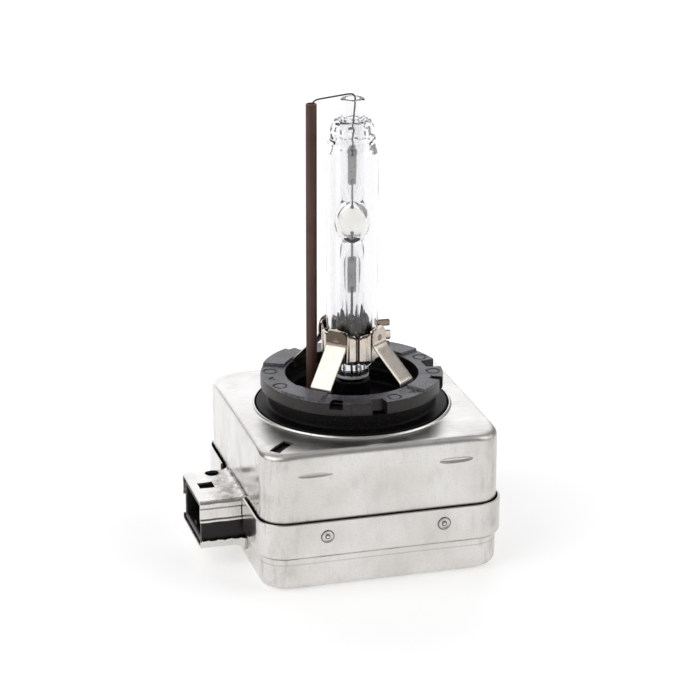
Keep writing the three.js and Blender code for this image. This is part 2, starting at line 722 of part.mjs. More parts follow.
add('return_wire', returnWire(), wireMetal);
const tube = add('ceramic_tube', hollow(TUBE_BORE, TUBE_RADIUS, WELL_FLOOR + GAP, tubeTop, 20), ceramic);
tube.position.set(TUBE_X, TUBE_Y, 0);

// ---- Holder ------------------------------------------------------------------------------

function holderCollar() {
  const band = hollow(collarBore, collarRadius, COLLAR_BOTTOM, collarTop, 32);
  const top = collarTop + EAR_OVERHANG;
  const ears = EAR_HEIGHTS.map((height, i) => {
    const above = EAR_HEIGHTS.slice(0, i).reduce((sum, each) => sum + each + EAR_SPACE, 0);
    return block(
      collarRadius, collarRadius + EAR_REACH, -EAR_WIDTH / 2, EAR_WIDTH / 2,
      top - above - height, top - above,
    );
  });
  const stack = EAR_HEIGHTS.reduce((sum, each) => sum + each + EAR_SPACE, -EAR_SPACE);
  const spine = block(
    collarBore + COLLAR_SHEET / 3, collarRadius + COLLAR_SHEET, -EAR_WIDTH / 2, EAR_WIDTH / 2,
    top - stack, top,
  );
  return joined(band, spine, ...ears);
}

// Leg in its own frame: +X is outwards. A tab lies against the collar, the leg slopes down to
// the bore of the flange ring, and its foot turns down inside it.
function holderLeg() {
  const tabAt = collarRadius + GAP + LEG_SHEET / 2;
  const footAt = RING_BORE - GAP - LEG_SHEET / 2;
  const tabTop = collarTop + LEG_TAB_RISE;
  const bendAt = collarTop - LEG_BEND_BELOW_COLLAR_TOP;
  const strip = stripOutline([
    [tabAt, tabTop],
    [tabAt, bendAt],
    [footAt, padTop],
    [footAt, padTop - LEG_FOOT_DROP],
  ], LEG_SHEET);
  const front = new THREE.Shape();
  const low = RING_BOTTOM;
  front.moveTo(-LEG_WIDTH / 2, low);
  front.lineTo(LEG_WIDTH / 2, low);
  front.lineTo(LEG_WIDTH / 2, tabTop - LEG_WIDTH / 2);
  front.absarc(0, tabTop - LEG_WIDTH / 2, LEG_WIDTH / 2, 0, Math.PI, false);
  front.closePath();
  return common(slabAcrossY(strip, LEG_WIDTH + 1), slabAcrossX(front, 0, RING_RADIUS));
}

add('holder_collar', holderCollar(), holderSteel);
LEG_ANGLES.forEach((angle, i) => {
  const leg = add(`holder_leg_${i + 1}`, holderLeg(), holderSteel);
  leg.rotation.z = THREE.MathUtils.degToRad(angle);
});

// ---- Igniter -----------------------------------------------------------------------------

const igniter = new THREE.Group();
group.add(igniter);

function insulatorTray() {
  const width = CASE_WIDTH - 2 * PAN_EDGE;
  const depth = CASE_DEPTH - 2 * PAN_EDGE;
  const bottom = SHEET + GAP;
  const floor = prism(roundedRectangle(width, depth, CASE_CORNER - PAN_EDGE), bottom, bottom + TRAY_FLOOR, 4);
  const x = width / 2 - TRAY_POST_INSET;
  const y = depth / 2 - TRAY_POST_INSET;
  const posts = [[x, y], [-x, y], [-x, -y], [x, -y]].map(([px, py]) => (
    disc(TRAY_POST, bottom, BOARD_BOTTOM - GAP, 16).translate(px, py, 0)
  ));
  return joined(floor, ...posts);
}

const boardShape = roundedRectangle(
  CASE_WIDTH - 2 * BOARD_MARGIN,
  CASE_DEPTH - 2 * BOARD_MARGIN,
  CASE_CORNER - BOARD_MARGIN,
);
add('insulator_tray', insulatorTray(), trayPlastic, igniter);
add('circuit_board', prism(boardShape, BOARD_BOTTOM, boardTop, 4), boardLaminate, igniter);

// Step-up transformer: a ferrite rod in a bobbin that carries both windings, lying along Y.
const transformer = new THREE.Group();
transformer.position.set(TRANSFORMER_X, 0, TRANSFORMER_Z);
transformer.rotation.x = Math.PI / 2;
igniter.add(transformer);

const bobbinBore = CORE_RADIUS + GAP;
const bobbinRadius = bobbinBore + BOBBIN_WALL;
const bobbinHalf = CORE_LENGTH / 2 - GAP;
const secondaryBore = bobbinRadius + GAP;
const secondaryRadius = secondaryBore + SECONDARY_BUILD;
const secondaryHalf = bobbinHalf - BOBBIN_FLANGE - GAP;
const primaryBore = secondaryRadius + GAP;
const bobbin = joined(
  hollow(bobbinBore, bobbinRadius, -bobbinHalf, bobbinHalf, 24),
  hollow(bobbinBore, BOBBIN_FLANGE_RADIUS, -bobbinHalf, BOBBIN_FLANGE - bobbinHalf, 24),
  hollow(bobbinBore, BOBBIN_FLANGE_RADIUS, bobbinHalf - BOBBIN_FLANGE, bobbinHalf, 24),
);
const secondary = hollow(secondaryBore, secondaryRadius, -secondaryHalf, secondaryHalf, 24);
const primary = hollow(
  primaryBore, primaryBore + PRIMARY_BUILD, -PRIMARY_LENGTH / 2, PRIMARY_LENGTH / 2, 24,
);
add('transformer_core', disc(CORE_RADIUS, -CORE_LENGTH / 2, CORE_LENGTH / 2, 20), ferrite, transformer);
add('transformer_bobbin', bobbin, trayPlastic, transformer);
add('secondary_winding', secondary, copper, transformer);
add('primary_winding', primary, copper, transformer);

// Terminals: a cup round the end of each wire, with a strip to the winding or to the board.
function terminalCup(wireRadius) {
  return hollow(wireRadius + GAP, TERMINAL_RADIUS, terminalTop - TERMINAL_HEIGHT, terminalTop, 16);
}

const hvStrip = block(
  TERMINAL_RADIUS - TERMINAL_STRIP, TRANSFORMER_X - primaryBore - PRIMARY_BUILD - GAP,
  -TERMINAL_STRIP, TERMINAL_STRIP,
  terminalTop - TERMINAL_HEIGHT, terminalTop - TERMINAL_HEIGHT + TERMINAL_STRIP,
);
add('hv_terminal', joined(terminalCup(LEAD_RADIUS), hvStrip), tinned, igniter);

const returnPost = block(
  -TERMINAL_RADIUS, -TERMINAL_RADIUS + TERMINAL_STRIP, -TERMINAL_STRIP, TERMINAL_STRIP,
  boardTop + GAP, terminalTop,
);
const returnPostFree = cut(returnPost, disc(WIRE_RADIUS + GAP, 0, CASE_HEIGHT, 16));
const returnCup = joined(terminalCup(WIRE_RADIUS), returnPostFree);
const returnTerminal = add('return_terminal', returnCup, tinned, igniter);
returnTerminal.position.set(TUBE_X, TUBE_Y, 0);

// Spark gap: a ceramic barrel between two metal caps, lying along X.
const sparkGap = new THREE.Group();
sparkGap.position.set(GAP_TUBE_PLACE[0], GAP_TUBE_PLACE[1], boardTop + GAP + GAP_TUBE_RADIUS);
sparkGap.rotation.y = Math.PI / 2;
igniter.add(sparkGap);
const barrelHalf = GAP_TUBE_LENGTH / 2;
const capFrom = barrelHalf + GAP;
const barrel = disc(GAP_TUBE_RADIUS - GAP, -barrelHalf, barrelHalf, 20);
const cap = disc(GAP_TUBE_RADIUS, capFrom, capFrom + GAP_TUBE_CAP, 20);
add('spark_gap_barrel', barrel, gapCeramic, sparkGap);
add('spark_gap_cap_1', cap, tinned, sparkGap);
add('spark_gap_cap_2', cap.clone().rotateX(Math.PI), tinned, sparkGap);

const [capacitorX, capacitorY, capacitorZ] = CAPACITOR_SIZE;
const capacitorShape = roundedRectangle(capacitorX, capacitorY, GAP);
const capacitor = prism(capacitorShape, boardTop + GAP, boardTop + GAP + capacitorZ, 2);
add('capacitor', capacitor, capacitorBox, igniter)
  .position.set(CAPACITOR_PLACE[0], CAPACITOR_PLACE[1], 0);

// Bleeder resistor: a barrel with rounded shoulders and short wire ends, lying along Y.
const resistorHalf = RESISTOR_LENGTH / 2;
const resistor = add('bleeder_resistor', turned([
  [0, -resistorHalf - 1],
  [LEAD_RADIUS, -resistorHalf - 1],
  [LEAD_RADIUS, -resistorHalf],
  [RESISTOR_RADIUS, -resistorHalf + GAP],
  [RESISTOR_RADIUS, resistorHalf - GAP],
  [LEAD_RADIUS, resistorHalf],
  [LEAD_RADIUS, resistorHalf + 1],
  [0, resistorHalf + 1],
], 14), resistorBody, igniter);
resistor.rotation.x = Math.PI / 2;
resistor.position.set(RESISTOR_PLACE[0], RESISTOR_PLACE[1], boardTop + GAP + RESISTOR_RADIUS);

// Filter choke: a drum core with its winding.
const chokeBottom = boardTop + GAP;
const chokeWaist = CHOKE_RADIUS / 2;
const choke = turned([
  [0, chokeBottom],
  [CHOKE_RADIUS, chokeBottom],
  [CHOKE_RADIUS, chokeBottom + 1],
  [chokeWaist, chokeBottom + 1],
  [chokeWaist, chokeBottom + CHOKE_HEIGHT - 1],
  [CHOKE_RADIUS, chokeBottom + CHOKE_HEIGHT - 1],
  [CHOKE_RADIUS, chokeBottom + CHOKE_HEIGHT],
  [0, chokeBottom + CHOKE_HEIGHT],
], 20);
const chokeCoil = hollow(
  chokeWaist + GAP, CHOKE_RADIUS - GAP, chokeBottom + 1 + GAP, chokeBottom + CHOKE_HEIGHT - 1 - GAP, 20,
);
add('choke_core', choke, ferrite, igniter).position.set(CHOKE_PLACE[0], CHOKE_PLACE[1], 0);
add('choke_winding', chokeCoil, copper, igniter).position.set(CHOKE_PLACE[0], CHOKE_PLACE[1], 0);

export default group;
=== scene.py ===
import json

import bpy
import numpy as np
from mathutils import Matrix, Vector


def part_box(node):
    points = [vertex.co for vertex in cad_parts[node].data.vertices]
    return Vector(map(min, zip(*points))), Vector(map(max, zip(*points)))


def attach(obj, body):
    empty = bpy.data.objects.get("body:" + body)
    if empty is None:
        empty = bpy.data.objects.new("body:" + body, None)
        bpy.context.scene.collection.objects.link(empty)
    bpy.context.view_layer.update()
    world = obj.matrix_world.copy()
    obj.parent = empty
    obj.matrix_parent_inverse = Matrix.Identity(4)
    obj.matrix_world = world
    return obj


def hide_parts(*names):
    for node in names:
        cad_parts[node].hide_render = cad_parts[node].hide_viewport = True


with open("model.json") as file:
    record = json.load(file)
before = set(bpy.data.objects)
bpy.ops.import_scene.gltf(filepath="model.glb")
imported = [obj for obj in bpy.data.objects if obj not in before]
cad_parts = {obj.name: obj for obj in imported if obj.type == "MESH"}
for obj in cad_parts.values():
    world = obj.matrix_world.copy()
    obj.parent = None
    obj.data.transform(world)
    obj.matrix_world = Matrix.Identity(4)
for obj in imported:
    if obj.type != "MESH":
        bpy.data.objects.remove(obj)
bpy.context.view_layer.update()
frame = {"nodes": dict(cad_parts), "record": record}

bl_info = {
    "name": "Headlight bulb looks",
    "version": (1, 0, 0),
    "blender": (4, 5, 0),
    "location": "View3D > Sidebar > Headlight bulb",
    "description": "Makes the visible pieces and the studio of a gas-discharge headlight bulb",
    "category": "Object",
}

MM = 0.001
TURN = 2 * np.pi


# ---- Sizes taken from the frame, in millimetres --------------------------------------------

def node_mm(name):
    """Lowest and highest corner of a frame node, in millimetres."""
    low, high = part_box(name)
    return np.array(low) / MM, np.array(high) / MM


can_low, can_high = node_mm("upper_can")
pan_high = node_mm("lower_pan")[1]
ring_low, ring_high = node_mm("base_ring")
cover_low, cover_high = node_mm("housing_cover")
seat_low, seat_high = node_mm("lamp_seat")
envelope_low, envelope_high = node_mm("outer_envelope")
burner_low, burner_high = node_mm("arc_tube")
sleeve_low, sleeve_high = node_mm("ceramic_tube")
wire_low, wire_high = node_mm("return_wire")
collar_low, collar_high = node_mm("holder_collar")
socket_low, socket_high = node_mm("connector_socket")
leg_nodes = [name for name in sorted(frame["nodes"]) if name.startswith("holder_leg_")]
pin_nodes = [name for name in sorted(frame["nodes"]) if name.startswith("contact_pin_")]

ARC_HEIGHT = (node_mm("foil_lower")[0][2] + node_mm("foil_upper")[1][2]) / 2
CASE_HALF = can_high[0]
SLEEVE_X = (sleeve_low[0] + sleeve_high[0]) / 2


# ---- Settings ------------------------------------------------------------------------------

def length_setting(name, description, default):
    """Setting for a length, in metres."""
    return bpy.props.FloatProperty(
        name=name, description=description, default=default, min=0.0, unit="LENGTH")


def colour_setting(name, description, default):
    """Setting for a colour."""
    return bpy.props.FloatVectorProperty(
        name=name, description=description, default=default, subtype="COLOR", size=3)


def strength_setting(name, description, default):
    """Setting for the strength of a light."""
    return bpy.props.FloatProperty(name=name, description=description, default=default, min=0.0)


class CaseSizes(bpy.types.PropertyGroup):
    sheet: length_setting("Sheet", "Thickness of the pressed steel", 0.0004)
    corner: length_setting("Corner", "Radius of the upright corners", 0.0045)
    can_edge: length_setting("Can edge", "Radius round the top of the can", 0.0013)
    pan_edge: length_setting("Pan edge", "Radius round the bottom of the pan", 0.002)
    band_low: length_setting("Band foot", "Height where the pan steps out", 0.0061)
    neck_hole: length_setting("Neck hole", "Radius of the hole in the can", 0.017)
    waviness: length_setting("Waviness", "How far the sheet strays from flat", 0.00004)


class LampSizes(bpy.types.PropertyGroup):
    ring_bore: length_setting("Ring bore", "Inner radius of the flange ring", 0.0116)
    glass_wall: length_setting("Glass wall", "Wall of the outer envelope", 0.0009)
    stem_bore: length_setting("Stem bore", "Inner radius of the burner stems", 0.00115)
    leg_sheet: length_setting("Leg sheet", "Thickness of the holder strip", 0.00035)
    leg_width: length_setting("Leg width", "Width of one holder leg", 0.004)


class FinishColours(bpy.types.PropertyGroup):
    steel: colour_setting("Case steel", "Colour of the pressed case", (0.765, 0.75, 0.73))
    holder: colour_setting("Holder steel", "Colour of the collar and legs", (0.715, 0.64, 0.57))
    plastic: colour_setting("Black plastic", "Colour of the housing", (0.0035, 0.003, 0.003))
    ring: colour_setting("Ring plastic", "Colour of the flange ring", (0.0105, 0.0085, 0.0075))
    ceramic: colour_setting("Ceramic", "Colour of the return tube", (0.080, 0.034, 0.022))


class StageSettings(bpy.types.PropertyGroup):
    floor: colour_setting("Floor", "Colour of the floor", (0.93, 0.93, 0.93))
    floor_glow: strength_setting("Floor glow", "Light that comes through the white table", 0.38)
    sky: strength_setting("Sky", "Strength of the even light", 0.24)


# ---- Surfaces worked out with numpy ---------------------------------------------------------

def make_mesh(name, points, faces):
    """Object at the origin from points in millimetres and faces of point numbers."""
    mesh = bpy.data.meshes.new(name)
    mesh.from_pydata((np.asarray(points, float) * MM).tolist(), [], faces)
    mesh.update()
    piece = bpy.data.objects.new(name, mesh)
    bpy.context.scene.collection.objects.link(piece)
    return piece


def skin(name, rows, ends="poles"):
    """Closed surface over rows of points, each row a loop: quad (i, j) joins rows i and i+1 at
    columns j and j+1. Ends are 'poles', where a fan closes the first and last row, or 'ring',
    where the last row joins the first."""
    rows = np.asarray(rows, float)
    count, around = rows.shape[:2]
    number = np.arange(count * around).reshape(count, around)
    lower = number if ends == "ring" else number[:-1]
    upper = np.roll(number, -1, 0) if ends == "ring" else number[1:]
    quads = np.stack([lower, np.roll(lower, -1, 1), np.roll(upper, -1, 1), upper], -1)
    points = rows.reshape(-1, 3)
    faces = quads.reshape(-1, 4).tolist()
    if ends == "poles":
        points = np.vstack([points, rows[0].mean(0), rows[-1].mean(0)])
        first = np.stack([np.roll(number[0], -1), number[0], np.full(around, len(points) - 2)], -1)
        last = np.stack([number[-1], np.roll(number[-1], -1), np.full(around, len(points) - 1)], -1)
        faces += first.tolist() + last.tolist()
    return make_mesh(name, points, faces)


def outline_radius(angle, half_x, half_y, corner):
    """Distance from the centre to a rounded rectangle in a direction: half_x / cos or
    half_y / sin on the flats, and on the corner arc the far root of its circle. With both
    halves equal to the corner it is a circle."""
    c, s = np.abs(np.cos(angle)), np.abs(np.sin(angle))
    kx, ky = half_x - corner, half_y - corner
    along = kx * c + ky * s
    arc = along + np.sqrt(np.maximum(along ** 2 - kx ** 2 - ky ** 2 + corner ** 2, 0))
    flat_x = half_x / np.maximum(c, 1e-9)
    flat_y = half_y / np.maximum(s, 1e-9)
    on_x = flat_x * s <= ky
    on_y = flat_y * c <= kx
    return np.where(on_x, flat_x, np.where(on_y, flat_y, arc))


def case_angles(half, corner, flat=12, arc=16):
    """Directions for one turn, with as many samples on each corner arc as it needs."""
    start = np.arctan2(half - corner, half)
    quarter = np.concatenate([
        np.linspace(-start, start, 2 * flat, endpoint=False),
        np.linspace(start, np.pi / 2 - start, arc, endpoint=False),
    ])
    return np.concatenate([quarter + k * np.pi / 2 for k in range(4)])


def softened(stations, radii, steps=5):
    """The line through the stations with each bend replaced by a quadratic curve: it leaves
    the line at the bend's radius before the station and joins it at the same reach after it.
    Stations may have any number of values; their first and last ones set the lengths."""
    stations = [np.asarray(station, float) for station in stations]
    t = np.linspace(0, 1, steps)[:, None]
    out = [stations[0][None]]
    for before, here, after, radius in zip(stations, stations[1:], stations[2:], radii[1:]):
        if radius <= 0:
            out.append(here[None])
            continue
        back, ahead = before - here, after - here
        reach = [np.hypot(v[0], v[-1]) for v in (back, ahead)]
        a = here + back * min(radius / max(reach[0], 1e-9), 0.5)
        b = here + ahead * min(radius / max(reach[1], 1e-9), 0.5)
        out.append((1 - t) ** 2 * a + 2 * t * (1 - t) * here + t ** 2 * b)
    out.append(stations[-1][None])
    return np.vstack(out)


def divided(stations, longest):
    """The same line with no step longer than a length, measured on the first and last value."""
    out = [stations[:1]]
    for a, b in zip(stations, stations[1:]):
        parts = max(1, int(np.ceil(np.hypot(b[0] - a[0], b[-1] - a[-1]) / longest)))
        t = np.linspace(0, 1, parts + 1)[1:, None]
        out.append(a + (b - a) * t)
    return np.vstack(out)


def loft(stations, angles):
    """Rows of points, one per station (half x, half y, corner, height): the rounded rectangle
    of that station, sampled at the angles."""
    half_x, half_y, corner, height = (stations[:, k][:, None] for k in range(4))
    radius = outline_radius(angles[None], half_x, half_y, corner)
    return np.stack([
        radius * np.cos(angles), radius * np.sin(angles), np.broadcast_to(height, radius.shape),
    ], -1)


def spun(profile, around=96, centre=(0, 0)):
    """Rows of a surface of revolution about an upright axis: (radius, height) at each angle."""
    profile = np.asarray(profile, float)
    angles = np.linspace(0, TURN, around, endpoint=False)
    x = profile[:, :1] * np.cos(angles) + centre[0]
    y = profile[:, :1] * np.sin(angles) + centre[1]
    return np.stack([x, y, np.broadcast_to(profile[:, 1:], x.shape)], -1)


def swept(path, side, half_width, half_thick, around=24, power=2.0):
    """Rows of a bar along a flat path. At each point the section is a super-ellipse: its width
    lies along the side direction, its thickness square to that and to the path."""
    path = np.asarray(path, float)
    side = np.asarray(side, float) / np.linalg.norm(side)
    tangent = np.gradient(path, axis=0)
    tangent /= np.linalg.norm(tangent, axis=1)[:, None]
    normal = np.cross(tangent, side)
    angles = np.linspace(0, TURN, around, endpoint=False) + TURN / around / 2
    c, s = np.cos(angles), np.sin(angles)
    wide = np.sign(c) * np.abs(c) ** (2 / power)
    thick = np.sign(s) * np.abs(s) ** (2 / power)
    half_width = np.broadcast_to(half_width, len(path))[:, None, None]
    half_thick = np.broadcast_to(half_thick, len(path))[:, None, None]
    across = half_width * wide[None, :, None] * side
    through = half_thick * thick[None, :, None] * normal[:, None]
    return path[:, None] + across + through


def turned_to(rows, angle):
    """The rows turned about Z."""
    c, s = np.cos(angle), np.sin(angle)
    return rows @ np.array([[c, s, 0], [-s, c, 0], [0, 0, 1]])


def resampled(path, count):
    """Points at even spacing along a line of points."""
    path = np.asarray(path, float)
    length = np.concatenate([[0], np.cumsum(np.linalg.norm(np.diff(path, axis=0), axis=1))])
    places = np.linspace(0, length[-1], count)
    return np.stack([np.interp(places, length, path[:, k]) for k in range(path.shape[1])], -1)


def smoothed(path, passes):
    """Corners eased: each inner point moves to the mean of itself and its two neighbours."""
    path = path.copy()
    for _ in range(passes):
        path[1:-1] = (path[:-2] + 2 * path[1:-1] + path[2:]) / 4
    return path


def bump(value, centre, half, edge):
    """One inside centre +- half, falling to zero over an edge outside it, smooth at both ends."""
    t = np.clip((half + edge - np.abs(value - centre)) / edge, 0, 1)
    return t * t * (3 - 2 * t)


def apart(angle, centre):
    """Signed difference of two angles, in degrees, between -180 and 180."""
    return (np.degrees(angle) - centre + 180) % 360 - 180


def block(name, low, high):
    """Plain box used only as a cutter."""
    x, y, z = (np.array([a, b]) for a, b in zip(low, high))
    rows = [[(x[0], y[0], h), (x[1], y[0], h), (x[1], y[1], h), (x[0], y[1], h)] for h in z]
    return skin(name, rows)


def carved(piece, cutters):
    """Cuts the cutters out of the piece and deletes them."""
    for cutter in cutters:
        step = piece.modifiers.new("cut", "BOOLEAN")
        step.operation = "DIFFERENCE"
        step.solver = "EXACT"
        step.object = cutter
    return baked(piece, cutters)


def baked(piece, spent=()):
    """Applies the piece's modifiers to its mesh and deletes the objects that they used."""
    graph = bpy.context.evaluated_depsgraph_get()
    made = bpy.data.meshes.new_from_object(piece.evaluated_get(graph))
    piece.modifiers.clear()
    old = piece.data
    piece.data = made
    made.name = old.name
    for other in spent:
        bpy.data.objects.remove(other, do_unlink=True)
    return piece


def thickened(piece, thickness, offset=0.0):
    """Gives an open sheet its thickness, in millimetres, and bakes it."""
    wall = piece.modifiers.new("wall", "SOLIDIFY")
    wall.thickness = thickness * MM
    wall.offset = offset
    wall.use_even_offset = True
    return baked(piece)


def sheet(name, rows, wrap=False, keep=None):
    """Open sheet over a grid of points; keep marks the quads that stay."""
    rows = np.asarray(rows, float)
    count, across = rows.shape[:2]
    number = np.arange(count * across).reshape(count, across)
    right = np.roll(number, -1, 1) if wrap else number[:, 1:]
    left = number if wrap else number[:, :-1]
    quads = np.stack([left[:-1], right[:-1], right[1:], left[1:]], -1)
    if keep is not None:
        quads = quads[keep]
    quads = quads.reshape(-1, 4)
    used = np.unique(quads)
    renumber = np.zeros(count * across, int)
    renumber[used] = np.arange(len(used))
    return make_mesh(name, rows.reshape(-1, 3)[used], renumber[quads].tolist())


def placed(piece, paint, stands_for=(), crease=32):
    """Finishes a piece: smooth shading with sharp creases, material, body, slot and the frame
    nodes that it stands for."""
    piece.data.shade_smooth()
    piece.data.set_sharp_from_angle(angle=np.radians(crease))
    piece.data.materials.clear()
    piece.data.materials.append(paint)
    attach(piece, "root")
    if stands_for:
        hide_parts(*stands_for)
    return piece


# ---- Materials -----------------------------------------------------------------------------

class Tone:
    """A number that varies over a surface. Arithmetic on it adds Math nodes."""

    def __init__(self, paint, socket):
        self.paint = paint
        self.socket = socket

    def math(self, operation, *values):
        node = self.paint.node("ShaderNodeMath", {"operation": operation}, dict(enumerate(values)))
        return Tone(self.paint, node.outputs[0])

    def __add__(self, other):
        return self.math("ADD", self, other)

    def __radd__(self, other):
        return self.math("ADD", other, self)

    def __sub__(self, other):
        return self.math("SUBTRACT", self, other)

    def __rsub__(self, other):
        return self.math("SUBTRACT", other, self)

    def __mul__(self, other):
        return self.math("MULTIPLY", self, other)

    def __rmul__(self, other):
        return self.math("MULTIPLY", other, self)

    def __truediv__(self, other):
        return self.math("DIVIDE", self, other)

    def __pow__(self, other):
        return self.math("POWER", self, other)

    def magnitude(self):
        return self.math("ABSOLUTE", self)

    def step(self, low, high):
        """Rises smoothly from 0 at low to 1 at high."""
        node = self.paint.node(
            "ShaderNodeMapRange", {"interpolation_type": "SMOOTHSTEP"},
            {"Value": self, "From Min": low, "From Max": high})
        return Tone(self.paint, node.outputs[0])


class Paint:
    """A material under construction, in millimetres of the piece's own coordinates."""

    def __init__(self, name, colour, roughness, metallic=0.0, **constants):
        self.material = bpy.data.materials.new(name)
        self.material.use_nodes = True
        self.tree = self.material.node_tree
        self.tree.nodes.clear()
        self.shader = self.node("ShaderNodeBsdfPrincipled")
        output = self.node("ShaderNodeOutputMaterial")
        self.tree.links.new(self.shader.outputs[0], output.inputs[0])
        self.colour = (*colour, 1.0)
        self.shader.inputs["Base Color"].default_value = self.colour
        self.shader.inputs["Roughness"].default_value = roughness
        self.shader.inputs["Metallic"].default_value = metallic
        for key, value in constants.items():
            self.shader.inputs[key.replace("_", " ")].default_value = value
        self.material.diffuse_color = self.colour

    def node(self, kind, settings=None, sockets=None):
        """Adds a node: its settings are set first, then values or links on its sockets."""
        node = self.tree.nodes.new(kind)
        for key, value in (settings or {}).items():
            setattr(node, key, value)
        for key, value in (sockets or {}).items():
            if isinstance(value, Tone):
                value = value.socket
            if isinstance(value, bpy.types.NodeSocket):
                self.tree.links.new(value, node.inputs[key])
            else:
                node.inputs[key].default_value = value
        return node

    def place(self, scale=(1.0, 1.0, 1.0)):
        """Object coordinates in millimetres, stretched by a scale for each axis."""
        where = self.node("ShaderNodeTexCoord")
        mapping = self.node("ShaderNodeMapping", None, {
            "Vector": where.outputs["Object"],
            "Scale": tuple(s / MM for s in scale),
        })
        return mapping.outputs[0]

    def axis(self, name):
        """One coordinate of the surface in millimetres."""
        split = self.node("ShaderNodeSeparateXYZ", None, {0: self.place()})
        return Tone(self, split.outputs[name])

    def noise(self, scale, stretch=(1.0, 1.0, 1.0), detail=3.0, rough=0.5):
        """Soft noise from 0 to 1, with scale features per millimetre."""
        node = self.node("ShaderNodeTexNoise", None, {
            "Vector": self.place(stretch), "Scale": scale, "Detail": detail, "Roughness": rough,
        })
        return Tone(self, node.outputs["Fac"])

    def specks(self, scale, size):
        """One in small round cells of a scattered pattern, and zero between them."""
        node = self.node("ShaderNodeTexVoronoi", None, {"Vector": self.place(), "Scale": scale})
        return 1.0 - Tone(self, node.outputs["Distance"]).step(size * 0.5, size)

    def blend(self, factor, first, second):
        """Colour between two colours."""
        node = self.node("ShaderNodeMix", {"data_type": "RGBA"}, {0: factor})
        for index, value in ((6, first), (7, second)):
            if isinstance(value, bpy.types.NodeSocket):
                self.tree.links.new(value, node.inputs[index])
            else:
                node.inputs[index].default_value = (*value[:3], 1.0)
        return node.outputs[2]

    def feed(self, socket, value):
        value = value.socket if isinstance(value, Tone) else value
        self.tree.links.new(value, self.shader.inputs[socket])

    def relief(self, *layers):
        """Bump from layers of (height, distance in millimetres), one upon another."""
        normal = None
        for height, distance in layers:
            sockets = {"Height": height, "Distance": distance * MM, "Strength": 1.0}
            if normal is not None:
                sockets["Normal"] = normal
            normal = self.node("ShaderNodeBump", None, sockets).outputs[0]
        self.feed("Normal", normal)


def scaled(colour, factor, warm=0.0):
    """A colour made lighter or darker, and warmer or colder."""
    r, g, b = (min(1.0, c * factor) for c in colour[:3])
    return min(1.0, r * (1 + warm)), g, b * (1 - warm)


TOP_FROM, TOP_FULL = 24.2, 24.7
CORNER_FROM, CORNER_FULL = 35.5, 40.0
# Painted shade on the front right corner rises between these two values of x - y.
RIGHT_SHADE_FROM, RIGHT_SHADE_FULL = 37.2, 41.2


def case_steel(name, colour, *details):
    """Bright tin-plated sheet: soft stains, rolling grain, upright draw marks and scratches, with
    painted shade in the corners and on the front right corner of the walls.
    Each detail is a function of the paint that gives a mask of painted shade, with real stains on
    the hood. The top begins between two heights, and a corner between two values of |x| + |y|."""
    paint = Paint(name, colour, 0.3, 1.0)
    cloud = paint.noise(0.09, detail=4.0)
    blotch = paint.noise(0.34, (1.0, 1.0, 0.55), 6.0, 0.6).step(0.46, 0.76)
    draw = paint.noise(0.9, (1.0, 1.0, 0.16), 3.0, 0.55)
    grain = paint.noise(3.4, (0.06, 1.0, 0.6), 4.0, 0.65)
    fleck = paint.noise(3.0, detail=4.0, rough=0.7)
    scratch = paint.noise(2.2, (0.14, 0.14, 1.6), 6.0, 0.7).step(0.62, 0.74)
    top = paint.axis("Z").step(TOP_FROM, TOP_FULL)
    side = 1.0 - top
    diagonal = paint.axis("X").magnitude() + paint.axis("Y").magnitude()
    corner = diagonal.step(CORNER_FROM, CORNER_FULL) * side
    tint = paint.blend(cloud.step(0.35, 0.65), colour, scaled(colour, 0.9, 0.015))
    # Stains, heavier towards the upright corners: real stains, with painted shade added in the
    # corners.
    tint = paint.blend(blotch * (0.2 + 0.5 * corner) * side, tint, scaled(colour, 0.58, 0.03))
    # Painted shade: the front right corner of the walls is darker, for the darker reflection there.
    edge = (paint.axis("X") - paint.axis("Y")).step(RIGHT_SHADE_FROM, RIGHT_SHADE_FULL) * side
    tint = paint.blend(edge * (0.25 + 0.35 * cloud), tint, scaled(colour, 0.55, 0.02))
    marked = draw.step(0.5, 0.72) * (0.05 + 0.3 * corner) * side
    tint = paint.blend(marked, tint, scaled(colour, 0.4))
    tint = paint.blend(scratch * 0.16 * side, tint, scaled(colour, 0.5))
    tint = paint.blend(fleck.step(0.5, 0.66) * 0.3 * side, tint, scaled(colour, 0.6))
    tint = paint.blend(grain.step(0.48, 0.66) * 0.3 * top, tint, scaled(colour, 0.5))
    # Painted shade from each detail, nearly black and a little warm.
    for detail in details:
        tint = paint.blend(detail(paint), tint, scaled(colour, 0.09, 0.1))
    paint.feed("Base Color", tint)
    rough = 0.21 + 0.14 * cloud + 0.1 * side * draw + 0.08 * blotch
    polished = 1.0 - paint.axis("X").step(-20.8, -19.5)
    rough = rough + top * (0.16 * grain - 0.05) - polished * side * 0.14
    paint.feed("Roughness", rough)
    paint.relief((cloud, 0.12), (draw * side, 0.012), (blotch * side, 0.04), (grain * top, 0.03))
    return paint.material


def line_at(paint, height, half, edge):
    """Mask of a level line on the walls, a little ragged."""
    ragged = paint.noise(0.7, detail=4.0) * 0.5 - 0.25
    away = (paint.axis("Z") + ragged * edge - height).magnitude()
    return 1.0 - away.step(half, half + edge)


def smudge(paint, reach):
    """Mottled dull patch, broken into flakes."""
    flakes = paint.noise(0.55, (1.0, 0.8, 1.4), 7.0, 0.68).step(0.42, 0.6)
    return reach * (0.15 + 0.6 * flakes)


def can_seam_shade(paint):
    """Painted shade where the can goes down into the band, and fainter painted shade in the stops.
    """
    seam = 1.0 - paint.axis("Z").step(12.5, 12.9)
    long_way = (paint.axis("X").magnitude() - 12.5) / 2.9
    short_way = (paint.axis("Z") - 20.9) / 0.55
    front = 1.0 - paint.axis("Y").step(-20.9, -20.6)
    stops = 1.0 - (long_way * long_way + short_way * short_way).step(0.6, 1.05)
    return seam + stops * front * 0.2


